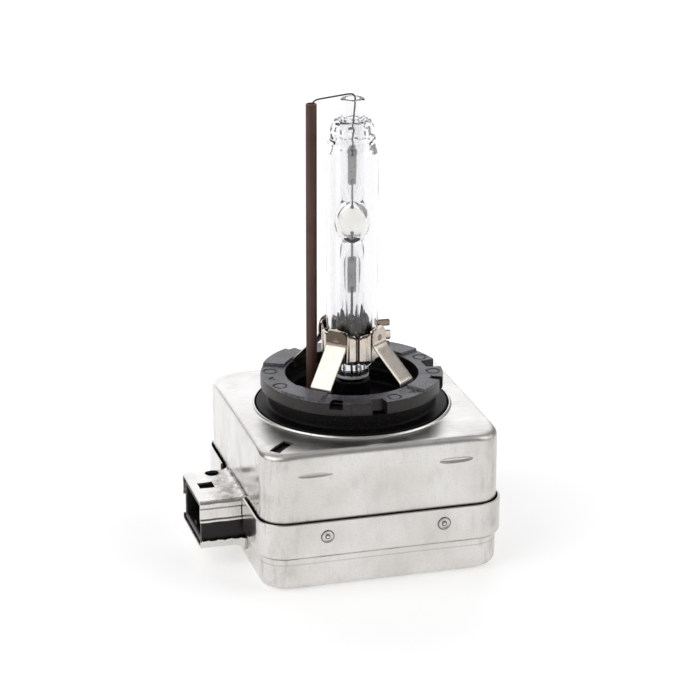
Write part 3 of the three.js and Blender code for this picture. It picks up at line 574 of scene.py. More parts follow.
def hood_seam_shade_and_stains(paint):
    """Painted shade along the fold line where the hood leaves the can, stains near it, and painted
    shade under its two beads.
    """
    near = 1.0 - (paint.axis("X") + 21.15).magnitude().step(0.05, 0.3)
    inner = (paint.axis("X") + 3.0 * paint.noise(0.3, detail=4.0)).step(-24.6, -22.6)
    stains = smudge(paint, inner * paint.axis("Z").step(12.0, 12.3) * 0.75)
    upper_bead_shade = line_at(paint, 11.0, 0.05, 0.22) * 0.7
    lower_bead_shade = line_at(paint, 8.95, 0.03, 0.2) * 0.6
    return near * 0.5 + stains + upper_bead_shade + lower_bead_shade


def joggle_shade(paint):
    """Painted shade in the bend under the band, heavier in places, and a fainter line of painted
    shade below it.
    """
    patchy = paint.noise(0.22, detail=3.0).step(0.42, 0.6)
    bend = line_at(paint, 6.15, 0.04, 0.16) * (0.3 + 0.6 * patchy)
    return bend + line_at(paint, 4.9, 0.02, 0.16) * 0.25


def weld_edge_shade(paint):
    """Painted shade: two dark rings round the centre of each weld mark, at the edges of its knob
    and its ring.
    """
    x = paint.axis("X").magnitude() - WELD_X
    z = paint.axis("Z") - WELD_HEIGHT
    away = (x * x + z * z) ** 0.5
    rings = sum(1.0 - (away - radius).magnitude().step(0.04, 0.16) for radius in (0.36, 1.08))
    return rings * 0.9


def tab_dark_reflection(paint):
    """Painted reflection: a dark band on a tab's face, above its fold and below its bright upper
    edge, where the dark ring shows in it. The legs on the connector's side have more of it."""
    fold, edge = collar_high[2] - 2.3, collar_high[2] + 0.32
    height = paint.axis("Z") + 0.25 * paint.noise(0.8, detail=3.0)
    face = height.step(fold, fold + 0.5) * (1.0 - height.step(edge - 0.1, edge + 0.1))
    return face * (0.96 - 0.62 * paint.axis("X").step(0.0, 2.0))


def groove_shade(paint):
    """Shade in the collar's grooves and along its lower edge."""
    x, y = paint.axis("X"), paint.axis("Y")
    radius = (x * x + y * y) ** 0.5
    return (1.0 - radius.step(4.72, 4.9)) * 0.85


def holder_steel(name, colour, *details):
    """Bright strip with a warm tint, lengthwise scratches and darker heat bloom in scattered
    patches.
    """
    paint = Paint(name, colour, 0.28, 1.0)
    cloud = paint.noise(0.35, detail=4.0)
    scratch = paint.noise(5.0, (1.0, 1.0, 0.12), 3.0, 0.6)
    bloom = paint.noise(0.8, detail=2.0).step(0.5, 0.8)
    low = 1.0 - paint.axis("Z").step(35.5, 37.5)
    tint = paint.blend(cloud.step(0.3, 0.7), scaled(colour, 1.08), scaled(colour, 0.86, 0.03))
    tint = paint.blend(bloom * 0.35, tint, scaled(colour, 0.55, 0.08))
    tint = paint.blend(low * 0.5, tint, scaled(colour, 1.1, -0.05))
    # Painted shade and painted reflection from the details: shade in the collar's grooves, the dark
    # reflection on the leg tabs.
    for detail in details:
        tint = paint.blend(detail(paint), tint, scaled(colour, 0.12, 0.14))
    paint.feed("Base Color", tint)
    paint.feed("Roughness", 0.11 + 0.14 * cloud + 0.1 * scratch)
    paint.relief((cloud, 0.03), (scratch, 0.006))
    return paint.material


def moulded(name, colour, roughness, grain, depth, speck=0.0, gloss=0.5, sheen_height=None):
    """Moulded plastic: fine spark-eroded grain, uneven gloss, and pale specks of filler. Above a
    height, the top is paler and bluish in patches: a painted reflection of the bright surroundings."""
    paint = Paint(name, colour, roughness, Specular_IOR_Level=gloss)
    cloud = paint.noise(0.18, detail=4.0)
    fine = paint.noise(grain, detail=3.0, rough=0.65)
    spots = paint.specks(grain * 1.3, 0.32) * fine.step(0.45, 0.65)
    tint = paint.blend(cloud.step(0.3, 0.7), scaled(colour, 0.8), scaled(colour, 1.35, 0.02))
    tint = paint.blend(spots * speck, tint, scaled(colour, 36.0))
    # Painted reflection: paler, bluish patches on the top above a height.
    if sheen_height:
        above = paint.axis("Z").step(sheen_height - 0.12, sheen_height)
        painted_sheen = cloud.step(0.25, 0.6) * (0.15 + 1.2 * fine.step(0.35, 0.7))
        tint = paint.blend(above * painted_sheen, tint, (0.125, 0.125, 0.15))
    paint.feed("Base Color", tint)
    paint.feed("Roughness", roughness - 0.08 + 0.22 * fine - 0.06 * cloud)
    paint.relief((cloud, 0.05), (fine, depth))
    return paint.material


def fired_ceramic(name, colour):
    """Brown extruded ceramic: long faint streaks, pores and a dull skin."""
    paint = Paint(name, colour, 0.55)
    streak = paint.noise(1.4, (1.0, 1.0, 0.03), 3.0)
    cloud = paint.noise(0.25, detail=4.0)
    pores = paint.specks(4.5, 0.22)
    tint = paint.blend(streak.step(0.35, 0.7), scaled(colour, 0.75), scaled(colour, 1.3, 0.05))
    tint = paint.blend(cloud.step(0.45, 0.75) * 0.5, tint, scaled(colour, 0.55))
    tint = paint.blend(pores * 0.5, tint, scaled(colour, 0.35))
    cut_end = paint.axis("Z").step(sleeve_high[2] - 0.12, sleeve_high[2] - 0.02)
    tint = paint.blend(cut_end * 0.8, tint, scaled(colour, 3.2, 0.1))
    paint.feed("Base Color", tint)
    paint.feed("Roughness", 0.42 + 0.2 * cloud + 0.1 * streak)
    paint.relief((streak, 0.012), (pores * -1.0, 0.01))
    return paint.material


def clear_glass(name, colour, salt=None):
    """Clear glass with faint draw lines; the arc bulb is tinted by its salts."""
    paint = Paint(name, colour, 0.0, 0.0, IOR=1.46, Transmission_Weight=1.0)
    line = paint.noise(0.9, (1.0, 1.0, 0.04), 3.0)
    cloud = paint.noise(0.25, detail=2.0)
    tint = paint.blend(cloud, colour, scaled(colour, 0.985))
    if salt:
        away = (paint.axis("Z") - ARC_HEIGHT).magnitude()
        tint = paint.blend((1.0 - away.step(2.0, 3.4)) * 0.6, tint, salt)
    paint.feed("Base Color", tint)
    paint.feed("Roughness", 0.01 * cloud)
    paint.relief((line, 0.01), (cloud, 0.04))
    return paint.material


def foil_welds(paint):
    """Dark weld spots near both ends of each foil, and a dark outline along its edges."""
    end = (paint.axis("Z") - ARC_HEIGHT).magnitude()
    across = paint.axis("X")
    spot = 0
    for place, radius in ((6.9, 0.5), (12.0, 0.5)):
        away = ((end - place) * (end - place) + across * across) ** 0.5
        spot = spot + (1.0 - away.step(radius * 0.5, radius)) * 0.8
    return spot + across.magnitude().step(0.6, 0.75) * 0.45


def drawn_metal(name, colour, roughness, scale=3.0, spots=0.4, marks=None):
    """Wire, foil or plated contact: uneven tone, darker spots and a fine drawn grain."""
    paint = Paint(name, colour, roughness, 1.0)
    cloud = paint.noise(scale * 0.3, detail=4.0)
    grain = paint.noise(scale * 2, (1.0, 1.0, 0.15), 3.0)
    dark = paint.noise(scale * 0.7, detail=2.0).step(0.55, 0.7)
    tint = paint.blend(cloud, scaled(colour, 0.8), scaled(colour, 1.2))
    tint = paint.blend(dark * spots, tint, scaled(colour, 0.3))
    if marks:
        tint = paint.blend(marks(paint), tint, scaled(colour, 0.2))
    paint.feed("Base Color", tint)
    paint.feed("Roughness", roughness - 0.08 + 0.2 * cloud)
    paint.relief((grain, 0.01))
    return paint.material


PAINTS = {}


def prepare_paints():
    """Makes every material once: a recipe, the material's name and the recipe's values."""
    colours = bpy.context.scene.bulb_colours
    # The housing's black and the socket's lighter, warmer black are shaded and lit copies of one
    # plastic: painted shade on the housing, painted light on the socket.
    lit_socket_black = scaled(colours.plastic, 1.6, 0.1)
    # Darker, warmer copy of the holder steel: painted shade on the first and third clamp ears, and
    # heat tint on the weld buttons.
    scorched_and_shaded = scaled(colours.holder, 0.3, 0.14)
    salt = (0.965, 0.955, 0.905)
    ring_sheen_height = ring_high[2] - 0.55
    recipes = (
        (case_steel, "case_steel", colours.steel, can_seam_shade),
        (case_steel, "hood_steel", colours.steel, hood_seam_shade_and_stains),
        (case_steel, "pan_steel", colours.steel, joggle_shade),
        (case_steel, "weld_steel", colours.steel, weld_edge_shade),
        (holder_steel, "holder_steel", colours.holder, groove_shade),
        (holder_steel, "leg_steel", colours.holder, tab_dark_reflection),
        (moulded, "black_plastic", colours.plastic, 0.45, 2.6, 0.04, 0.6, 0.12),
        (moulded, "socket_plastic", lit_socket_black, 0.4, 3.4, 0.012, 0.2, 0.35),
        (moulded, "ring_plastic", colours.ring, 0.34, 2.6, 0.03, 0.2, 0.45, ring_sheen_height),
        (fired_ceramic, "ceramic", colours.ceramic),
        (holder_steel, "holder_scorch", scorched_and_shaded),
        # Pale foot ring: a painted highlight on the rim of the glass foot.
        (moulded, "fused_edge", (0.86, 0.86, 0.87), 0.3, 2.0, 0.01),
        # Dark crown in the glass: a painted reflection of the collar's dark inside.
        (moulded, "seal_film", (0.024, 0.0155, 0.012), 0.45, 1.6, 0.1, 1.0, 0.3),
        (clear_glass, "envelope_glass", (0.956, 0.956, 0.966)),
        (clear_glass, "burner_glass", (0.95, 0.951, 0.955), salt),
        (drawn_metal, "foil_metal", (0.48, 0.48, 0.47), 0.4, 6.0, 0.9, foil_welds),
        (drawn_metal, "tungsten", (0.33, 0.33, 0.34), 0.4),
        (drawn_metal, "wire_metal", (0.10, 0.10, 0.105), 0.38),
        (drawn_metal, "tinned_metal", (0.78, 0.76, 0.70), 0.25),
        (moulded, "tray_plastic", (0.72, 0.66, 0.54), 0.5, 2.5, 0.01),
        (moulded, "board_laminate", (0.03, 0.13, 0.05), 0.4, 1.5, 0.01),
        (moulded, "ferrite", (0.03, 0.03, 0.033), 0.6, 4.0, 0.02, 0.3),
        (drawn_metal, "copper_wire", (0.68, 0.28, 0.13), 0.32),
        (moulded, "gap_ceramic", (0.82, 0.81, 0.77), 0.35, 2.0, 0.005),
        (moulded, "capacitor_case", (0.5, 0.36, 0.06), 0.35, 2.0, 0.008),
        (moulded, "resistor_body", (0.05, 0.16, 0.34), 0.35, 2.0, 0.008),
    )
    for recipe, name, *values in recipes:
        PAINTS[name] = recipe(name, *values)


# ---- Case ----------------------------------------------------------------------------------

def strayed(rows, amount):
    """Moves a wall out and in by a slow wave of angle and height, so that it is not dead flat:
    amount * (sin(2a + z/7) + sin(5a - z/5) / 2), outwards from the axis."""
    angle = np.arctan2(rows[..., 1], rows[..., 0])
    z = rows[..., 2]
    wave = amount * (np.sin(2 * angle + z / 7) + 0.5 * np.sin(5 * angle - z / 5))
    radius = np.hypot(rows[..., 0], rows[..., 1])
    share = 1 + wave / np.maximum(radius, 1.0) * np.clip(radius / CASE_HALF, 0, 1)
    return np.stack([rows[..., 0] * share, rows[..., 1] * share, z], -1)


def upper_can_shell(sizes):
    """Can: a closed profile of rounded rectangles, from the circle of the neck hole's raised rim
    across the top, round the edge, down the wall, and back up on the inside."""
    sheet_mm, corner, edge = sizes.sheet / MM, sizes.corner / MM, sizes.can_edge / MM
    hole, half = sizes.neck_hole / MM, CASE_HALF
    top = can_high[2] - 0.35
    rim = can_high[2]
    inner = half - sheet_mm
    stations = softened([
        (hole, hole, hole, top - sheet_mm),
        (hole, hole, hole, rim),
        (hole + 0.22, hole + 0.22, hole + 0.22, rim),
        (hole + 0.42, hole + 0.42, hole + 0.42, top),
        (half, half, corner, top),
        (half, half, corner, can_low[2]),
        (inner, inner, corner - sheet_mm, can_low[2]),
        (inner, inner, corner - sheet_mm, top - sheet_mm),
        (hole + 0.3, hole + 0.3, hole + 0.3, top - sheet_mm),
    ], (0, 0.1, 0.1, 0.15, edge, 0.12, 0.12, edge - sheet_mm, 0), 9)
    rows = loft(divided(stations, 1.6), case_angles(half, corner))
    return skin("upper_can_shell", strayed(rows, sizes.waviness / MM), "ring")


SLOT_CENTRE = (-16.95, -16.85, 0)
STOPS = ((-12.2, 20.8, 0.3, 0.3), (12.5, 21.0, 0.36, 0.52))


def slanted_slot():
    """Cutter for the slot in the front left corner of the can, long side towards the middle."""
    half_long, half_wide = 2.35, 1.0
    path = np.linspace((-half_long, 0, can_high[2] - 0.6), (half_long, 0, can_high[2] - 0.6), 8)
    rows = swept(path, (0, 1, 0), half_wide, 1.2, 32, 12.0)
    return skin("slot_cutter", turned_to(rows, np.pi / 4) + np.array(SLOT_CENTRE))


def stop_pressings():
    """Two shallow grooves in the front of the can, cut with flattened bars."""
    cutters = []
    for side, height, deep, tall in STOPS:
        path = np.linspace((side - 3.0, 0, height), (side + 3.0, 0, height), 32)
        t = np.linspace(-1, 1, 32)
        swell = np.sqrt(np.maximum(1 - np.abs(t) ** 3, 0.01))
        rows = swept(path, (0, 0, 1), tall * swell, 0.4, 24)
        rows[..., 1] += -CASE_HALF - 0.4 + deep
        cutters.append(skin("stop_cutter", rows))
    return cutters


class BULB_OT_upper_can(bpy.types.Operator):
    """Press the upper can with its neck hole, slot and stop pressings"""
    bl_idname = "bulb.upper_can"
    bl_label = "Upper can"

    def execute(self, context):
        piece = upper_can_shell(context.scene.bulb_case)
        passage = block(
            "passage_cutter",
            (-CASE_HALF - 1, socket_low[1] - 0.3, can_low[2] - 1),
            (-CASE_HALF + 1, socket_high[1] + 0.3, socket_high[2] + 0.3))
        piece = carved(piece, [slanted_slot(), passage, *stop_pressings()])
        placed(piece, PAINTS["case_steel"], ["upper_can"])
        return {"FINISHED"}


def lower_pan_shell(sizes):
    """Pan: from the middle of its underside out to the edge, up the wall, out round the can as
    a band, over the band's lip and back down on the inside to the middle of its floor."""
    sheet_mm, corner, edge = sizes.sheet / MM, sizes.corner / MM, sizes.pan_edge / MM
    half, low = CASE_HALF, sizes.band_low / MM
    out = pan_high[0]
    grow = out - half
    stations = softened([
        (0.5, 0.5, 0.5, 0),
        (half, half, corner, 0),
        (half, half, corner, low - 0.25),
        (out, out, corner + grow, low + 0.35),
        (out, out, corner + grow, pan_high[2]),
        (out - sheet_mm, out - sheet_mm, corner + grow - sheet_mm, pan_high[2]),
        (out - sheet_mm, out - sheet_mm, corner + grow - sheet_mm, low + 0.55),
        (half - sheet_mm, half - sheet_mm, corner - sheet_mm, low),
        (half - sheet_mm, half - sheet_mm, corner - sheet_mm, sheet_mm),
        (0.5, 0.5, 0.5, sheet_mm),
    ], (0, edge, 0.3, 0.3, 0.14, 0.14, 0.3, 0.3, edge - sheet_mm, 0), 9)
    rows = loft(divided(stations, 1.6), case_angles(half, corner))
    return skin("lower_pan_shell", strayed(rows, sizes.waviness / MM))


WELD_X, WELD_HEIGHT = 10.3, 9.85
BAND_GAP = (13.0, 29.3)


def weld_mark(name, x, z):
    """Spot weld on the band: a ring and a knob in it, spun about an axis square to the wall."""
    profile = softened([
        (1.25, -0.12), (1.18, 0.05), (0.98, 0.16), (0.76, 0.0), (0.5, 0.0), (0.4, 0.18),
        (0.02, 0.24),
    ], (0, 0.1, 0.1, 0.1, 0.1, 0.1, 0), 4)
    rows = spun(profile, 40)
    flat = np.stack([rows[..., 0] + x, -pan_high[0] - rows[..., 2], rows[..., 1] + z], -1)
    return skin(name, flat)


class BULB_OT_lower_pan(bpy.types.Operator):
    """Press the lower pan with its band, open it at the connector and add its weld marks"""
    bl_idname = "bulb.lower_pan"
    bl_label = "Lower pan"

    def execute(self, context):
        piece = lower_pan_shell(context.scene.bulb_case)
        opening = block(
            "band_cutter",
            (-pan_high[0] - 1, can_low[1] + BAND_GAP[0], 5.0),
            (-CASE_HALF + 0.2, can_low[1] + BAND_GAP[1], pan_high[2] + 1))
        passage = block(
            "passage_cutter",
            (-CASE_HALF - 0.5, socket_low[1] - 0.3, 4.0),
            (-CASE_HALF + 1, socket_high[1] + 0.3, pan_high[2] + 1))
        piece = carved(piece, [opening, passage])
        placed(piece, PAINTS["pan_steel"], ["lower_pan"])
        for index, x in enumerate((-WELD_X, WELD_X), 1):
            mark = weld_mark(f"band_weld_{index}", x, WELD_HEIGHT)
            placed(mark, PAINTS["weld_steel"])
        return {"FINISHED"}


# ---- Connector -----------------------------------------------------------------------------

HOOD_SHEET = 0.4
HOOD_GAP = 0.7


def carried(section, x):
    """Rows of points: the section (y, height) repeated at each x."""
    shape = len(x), len(section)
    return np.stack([
        np.broadcast_to(x[:, None], shape),
        np.broadcast_to(section[:, 0], shape),
        np.broadcast_to(section[:, 1], shape),
    ], -1)


def hood_sheet():
    """Hood: a section with two skirts, sheet-thin, carried along X. Each skirt steps inwards
    between its two bead lines; the section flares up where it meets the can."""
    front, back = socket_low[1] - HOOD_GAP, socket_high[1] + HOOD_GAP
    top = socket_high[2] + HOOD_GAP
    skirt = top - 3.9
    wall = HOOD_SHEET / 2
    inset = wall + 0.16
    half = [
        (wall, skirt), (wall, skirt + 0.35), (inset, skirt + 0.55), (inset, top - 1.45),
        (wall, top - 1.2), (wall, top - wall),
    ]
    section = softened(
        [(front + inwards, height) for inwards, height in half]
        + [(back - inwards, height) for inwards, height in half[::-1]],
        (0, 0.1, 0.1, 0.1, 0.1, 0.55, 0.55, 0.1, 0.1, 0.1, 0.1, 0), 6)
    section = divided(section, 0.8)
    x = np.linspace(can_low[0] + 0.02, -CASE_HALF - 0.3, 26)
    x = np.concatenate([x, [-CASE_HALF + 0.1]])
    rows = carried(section, x)
    rise = np.clip((x + CASE_HALF + 1.2) / 1.3, 0, 1)[:, None] ** 2
    rows[..., 2] += 0.5 * rise * (rows[..., 2] > top - 0.7)
    rows[..., 2] += 0.03 * np.sin(x[:, None] * 1.7 + rows[..., 1] * 0.6)
    return sheet("connector_hood", rows[:, ::-1])


def drilled(x, y, z, radius):
    """Upright round cutter."""
    return skin("hole_cutter", spun([(radius, z - 2), (radius, z + 2)], 40, (x, y)))


class BULB_OT_connector(bpy.types.Operator):
    """Make the hood, the shelf, the plastic socket and its pins"""
    bl_idname = "bulb.connector"
    bl_label = "Connector"

    def execute(self, context):
        steel, black = PAINTS["hood_steel"], PAINTS["socket_plastic"]
        top = socket_high[2] + HOOD_GAP
        hood = thickened(hood_sheet(), HOOD_SHEET)
        window = block("window_cutter", (-27.75, -1.75, top - 2), (-25.1, 0.75, top + 1))
        hood = carved(hood, [drilled(-24.2, 4.6, top, 1.25), window])
        placed(hood, steel)
        placed(shelf_tray(), steel)
        placed(socket_shell(), black, ["connector_socket"])
        placed(socket_key(), black)
        for index, node in enumerate(pin_nodes, 1):
            blade = contact_blade(f"pin_blade_{index}", node)
            placed(blade, PAINTS["tinned_metal"], [node])
        return {"FINISHED"}


def shelf_tray():
    """Shelf: a shallow channel with turned-up lips, carried along X; its lips fade and rise into
    the wall of the pan."""
    wall = HOOD_SHEET / 2
    front, back = socket_low[1] - HOOD_GAP + wall, socket_high[1] + HOOD_GAP - wall
    low = socket_low[2] - HOOD_GAP
    section = softened([
        (front, low + 1.4), (front, low + wall), (back, low + wall), (back, low + 1.4),
    ], (0, 0.5, 0.5, 0), 7)
    section = divided(section, 0.7)
    x = np.linspace(can_low[0] + 0.02, -CASE_HALF + 0.1, 34)
    rows = carried(section, x)
    lip = np.clip((rows[..., 2] - low - 0.5) / 0.9, 0, 1)
    rows[..., 2] += lip * (0.08 * np.sin(x * 3.1) + 0.05 * np.sin(x * 7.7 + 1))[:, None]
    root = np.clip((x + CASE_HALF + 2.2) / 2.2, 0, 1)[:, None] ** 2
    rows[..., 2] -= root * 1.2 * (1 - lip)
    rows[..., 1] += np.sign(rows[..., 1]) * root * 0.5 * lip
    return thickened(sheet("connector_shelf", rows), HOOD_SHEET)


def socket_shell():
    """Socket: rounded rectangles carried along X, from the closed back over the outside to the
    mouth, then inside the cavity to its end wall."""
    centre_y, centre_z = (socket_low[1:] + socket_high[1:]) / 2
    half_y, half_z = (socket_high[1:] - socket_low[1:]) / 2
    wall, mouth, back = 1.0, socket_low[0], socket_high[0]
    stations = softened([
        (0.3, 0.3, 0.3, back),
        (half_y, half_z, 0.5, back),
        (half_y, half_z, 0.5, mouth),
        (half_y - wall, half_z - wall, 0.4, mouth),
        (half_y - wall, half_z - wall, 0.4, back - 1.4),
        (0.3, 0.3, 0.3, back - 1.4),
    ], (0, 0.3, 0.2, 0.25, 0.3, 0), 6)
    angles = np.sort(np.concatenate([
        np.linspace(0, TURN, 72, endpoint=False),
        (np.arctan2(half_z, half_y) * np.array([1, -1, 1, -1])[:, None]
         + np.array([0, 0, np.pi, np.pi])[:, None] + np.linspace(-0.05, 0.05, 9)).ravel() % TURN,
    ]))
    rows = loft(divided(stations, 1.2), angles)
    turned_rows = np.stack([rows[..., 2], rows[..., 0] + centre_y, rows[..., 1] + centre_z], -1)
    return skin("socket_shell", turned_rows[::-1])


def socket_key():
    """Key rib on the floor of the socket's cavity."""
    floor = socket_low[2] + 0.9
    middle = (socket_low[1] + socket_high[1]) / 2
    mouth, back = socket_low[0] + 0.4, socket_high[0] - 1
    path = np.linspace((mouth, middle, floor), (back, middle, floor), 10)
    return skin("socket_key", swept(path, (0, 1, 0), 0.6, 0.75, 20, 8.0))


def contact_blade(name, node):
    """Square pin: a tapered tip, a straight run and a bend down to the board."""
    low, high = node_mm(node)
    half = (high[1] - low[1]) / 2
    y = (low[1] + high[1]) / 2
    tip = low[0]
    path = softened([
        (tip, y, high[2] - half), (high[0] - half, y, high[2] - half), (high[0] - half, y, low[2]),
    ], (0, 0.9, 0), 10)
    path = resampled(path, 40)
    along = np.linspace(0, 1, 40)
    size = half * (0.45 + 0.55 * np.clip(along / 0.08, 0, 1))
    return skin(name, swept(path, (0, 1, 0), size, size, 16, 8.0))


# ---- Housing, ring and seat ----------------------------------------------------------------

def housing_shell(ring_bore):
    """Housing cover: spun well and neck, a round disc in the neck hole, then out to the square
    body, down its wall and back up inside."""
    floor, neck = seat_low[2] - 0.3, 14.5
    disc, disc_top, neck_top = 16.7, cover_high[2] - 2.7, cover_high[2]
    well = 10.4
    roof = can_high[2] - 0.35 - 0.7
    half, wall, bottom = cover_high[0], 1.2, cover_low[2]
    stations = softened([
        (0.4, 0.4, 0.4, floor),
        (well, well, well, floor),
        (well, well, well, neck_top - 0.6),
        (ring_bore, ring_bore, ring_bore, neck_top),
        (neck, neck, neck, neck_top),
        (neck, neck, neck, disc_top),
        (disc, disc, disc, disc_top),
        (disc, disc, disc, roof),
        (half, half, 3.8, roof),
        (half, half, 3.8, bottom),
        (half - wall, half - wall, 2.6, bottom),
        (half - wall, half - wall, 2.6, roof - wall),
        (0.4, 0.4, 0.4, roof - wall),
    ], (0, 0.5, 0.2, 0.2, 0.3, 0.6, 0.3, 0.1, 1.0, 0.3, 0.3, 0.5, 0), 7)
    rows = loft(divided(stations, 1.5), case_angles(half, 3.8))
    return skin("housing_cover_shell", rows[::-1])


KEYWAYS = ((2.0, 3.9, 2.7), (-29.0, 2.6, 1.9), (-88.4, 2.45, 2.0), (108.0, 3.2, 1.6))
PADS = ((-140.5, 14.5), (-40.0, 14.0), (44.0, 16.0), (137.0, 15.0))
EJECTOR_MARKS = (16.4, 80.0, 164.0, -165.7, -75.2, -13.9)
MOULD_MARKS = (179.0, -59.4)
MARK_CIRCLE = 14.2
MOULD_MARK_CIRCLE = 14.4
NOTCH_ANGLE, NOTCH_HALF, NOTCH_DEPTH = -115.5, 3.4, 1.4
FLAT_ANGLE, FLAT_HALF, FLAT_DEPTH = -100.0, 6.0, 0.14


def rim_radius(angle):
    """Outer radius of the ring: the full radius, or the flat bottom of a keyway, which is
    (R - depth) / cos(angle from its middle), wherever the keyway's width covers the angle. A
    shallow flat sits at the front."""
    full = ring_high[0]
    radius = np.full_like(angle, full)
    for centre, width, depth in KEYWAYS:
        off = np.radians(apart(angle, centre))
        floor = (full - depth) / np.cos(off)
        inside = (np.abs(full * np.sin(off)) < width / 2) & (np.abs(off) < 1)
        radius = np.where(inside, floor, radius)
    return radius - FLAT_DEPTH * bump(apart(angle, 0), FLAT_ANGLE, FLAT_HALF, 0.5)


def ring_top(x, y, base):
    """Height of the ring's top: flat, with raised pads that end in straight steps, round
    ejector marks with a groove round them, and two small three-cornered marks."""
    angle, radius = np.arctan2(y, x), np.hypot(x, y)
    height = np.full_like(x, base)
    for centre, half in PADS:
        height += 0.42 * bump(apart(angle, centre), 0, half, 0.9) * (radius > 12.0)
    for centre in EJECTOR_MARKS:
        a = np.radians(centre)
        away = np.hypot(x - MARK_CIRCLE * np.cos(a), y - MARK_CIRCLE * np.sin(a))
        height -= 0.14 * bump(away, 1.12, 0.08, 0.12) + 0.03 * (away < 1.1)
    for centre in MOULD_MARKS:
        a = np.radians(centre)
        u = x * np.cos(a) + y * np.sin(a) - MOULD_MARK_CIRCLE
        v = y * np.cos(a) - x * np.sin(a)
        height -= 0.12 * ((u > -0.5) & (np.abs(v) < 0.9 - 0.9 * (u + 0.5)) & (u < 0.5))
    return height


def flange_ring(bore):
    """Flange ring on a polar grid: bottom, outer wall, top and bore, each a share of the way
    from the bore to the rim, with the heights of the top worked out point by point. One notch
    is cut into the upper part of the outer wall."""
    angles = np.linspace(0, TURN, 900, endpoint=False)
    rim = rim_radius(angles)
    low, high = ring_low[2], ring_high[2] - 0.5
    wall = np.linspace(0, 1, 7)
    share = np.concatenate([
        [0.0, 0.5, 0.93, 0.985], np.full(7, 1.0), [0.985], np.linspace(0.95, 0.05, 46), [0.015],
        np.zeros(7),
    ])
    top = np.concatenate([
        np.zeros(4), 0.1 + 0.8 * wall, np.ones(48), 0.94 - 0.88 * wall,
    ])
    radius = bore + (rim - bore)[None] * share[:, None]
    upper = np.clip((top - 0.55) / 0.12, 0, 1)[:, None] * (share > 0.9)[:, None]
    notch = NOTCH_DEPTH * bump(apart(angles, 0), NOTCH_ANGLE, NOTCH_HALF, 0.8)
    radius = radius - upper * notch
    x, y = radius * np.cos(angles), radius * np.sin(angles)
    z = low + (ring_top(x, y, high) - low) * top[:, None]
    return skin("flange_ring", np.stack([x, y, z], -1), "ring")


class BULB_OT_housing(bpy.types.Operator):
    """Mould the housing cover, the flange ring and the seat under the glass"""
    bl_idname = "bulb.housing"
    bl_label = "Housing and ring"

    def execute(self, context):
        bore = context.scene.bulb_lamp.ring_bore / MM
        black, ring = PAINTS["black_plastic"], PAINTS["ring_plastic"]
        placed(housing_shell(bore), black, ["housing_cover"])
        placed(flange_ring(bore), ring, ["base_ring"], 28)
        low, high, radius = seat_low[2], seat_high[2], seat_high[0]
        profile = softened([
            (0.5, low), (radius, low), (radius, high), (radius - 0.85, high),
            (radius - 0.85, low + 0.7), (0.5, low + 0.7),
        ], (0, 0.2, 0.25, 0.2, 0.2, 0), 6)
        cup = skin("lamp_seat_cup", spun(profile, 72), "ring")
        placed(cup, black, ["lamp_seat"])
        return {"FINISHED"}


# ---- Glass ---------------------------------------------------------------------------------

ENVELOPE_BORE = 2.3
FOOT_RADIUS = 2.95
STEM_RADIUS = 2.05
BULB_WALL = 0.6
THROAT = 0.3
WELD_LAP = 1.4
CROWN_TONGUES = (-146.0, -66.0, 34.0, 114.0)


def envelope_rows(wall):
    """Outer envelope, spun from a closed profile: foot, flared shoulder, straight tube, hand
    worked shoulder and a cone up to the stem. The worked part is uneven: its radius gains a
    small wave of angle and height that fades out below and above it."""
    radius, low, high = envelope_high[0], envelope_low[2], envelope_high[2]
    bore = ENVELOPE_BORE
    shoulder = high - 4.7
    profile = softened([
        (bore, low + 0.45),
        (FOOT_RADIUS, low + 0.45),
        (FOOT_RADIUS, low + 1.5),
        (radius, low + 3.5),
        (radius, shoulder + 0.1),
        (radius - 0.62, shoulder + 1.1),
        (radius - 0.75, shoulder + 3.3),
        (radius - 1.2, shoulder + 4.1),
        (radius - 1.3, high - 0.2),
        (bore + 0.35, high),
        (bore, high - 0.1),
        (bore, high - 1.2),
        (radius - 0.65 - wall, shoulder + 2.2),
        (radius - 0.6 - wall, shoulder + 0.2),
        (radius - wall, shoulder - 0.8),
        (radius - wall, low + 4.6),
        (bore, low + 2.4),
    ], (0, 0.35, 0.5, 1.1, 0.9, 0.7, 0.5, 0.3, 0.15, 0.3, 0.1, 0.5, 0.6, 0.4, 0.5, 1.1, 0), 8)
    rows = spun(divided(profile, 1.6), 96)
    angle = np.arctan2(rows[..., 1], rows[..., 0])
    z = rows[..., 2]
    worked = bump(z, shoulder + 2.0, 1.6, 1.2)
    wave = 0.05 * np.sin(3 * angle + 2.1 * z) + 0.035 * np.sin(7 * angle - 3.3 * z)
    share = 1 + worked * wave / np.hypot(rows[..., 0], rows[..., 1])
    return np.stack([rows[..., 0] * share, rows[..., 1] * share, z], -1)


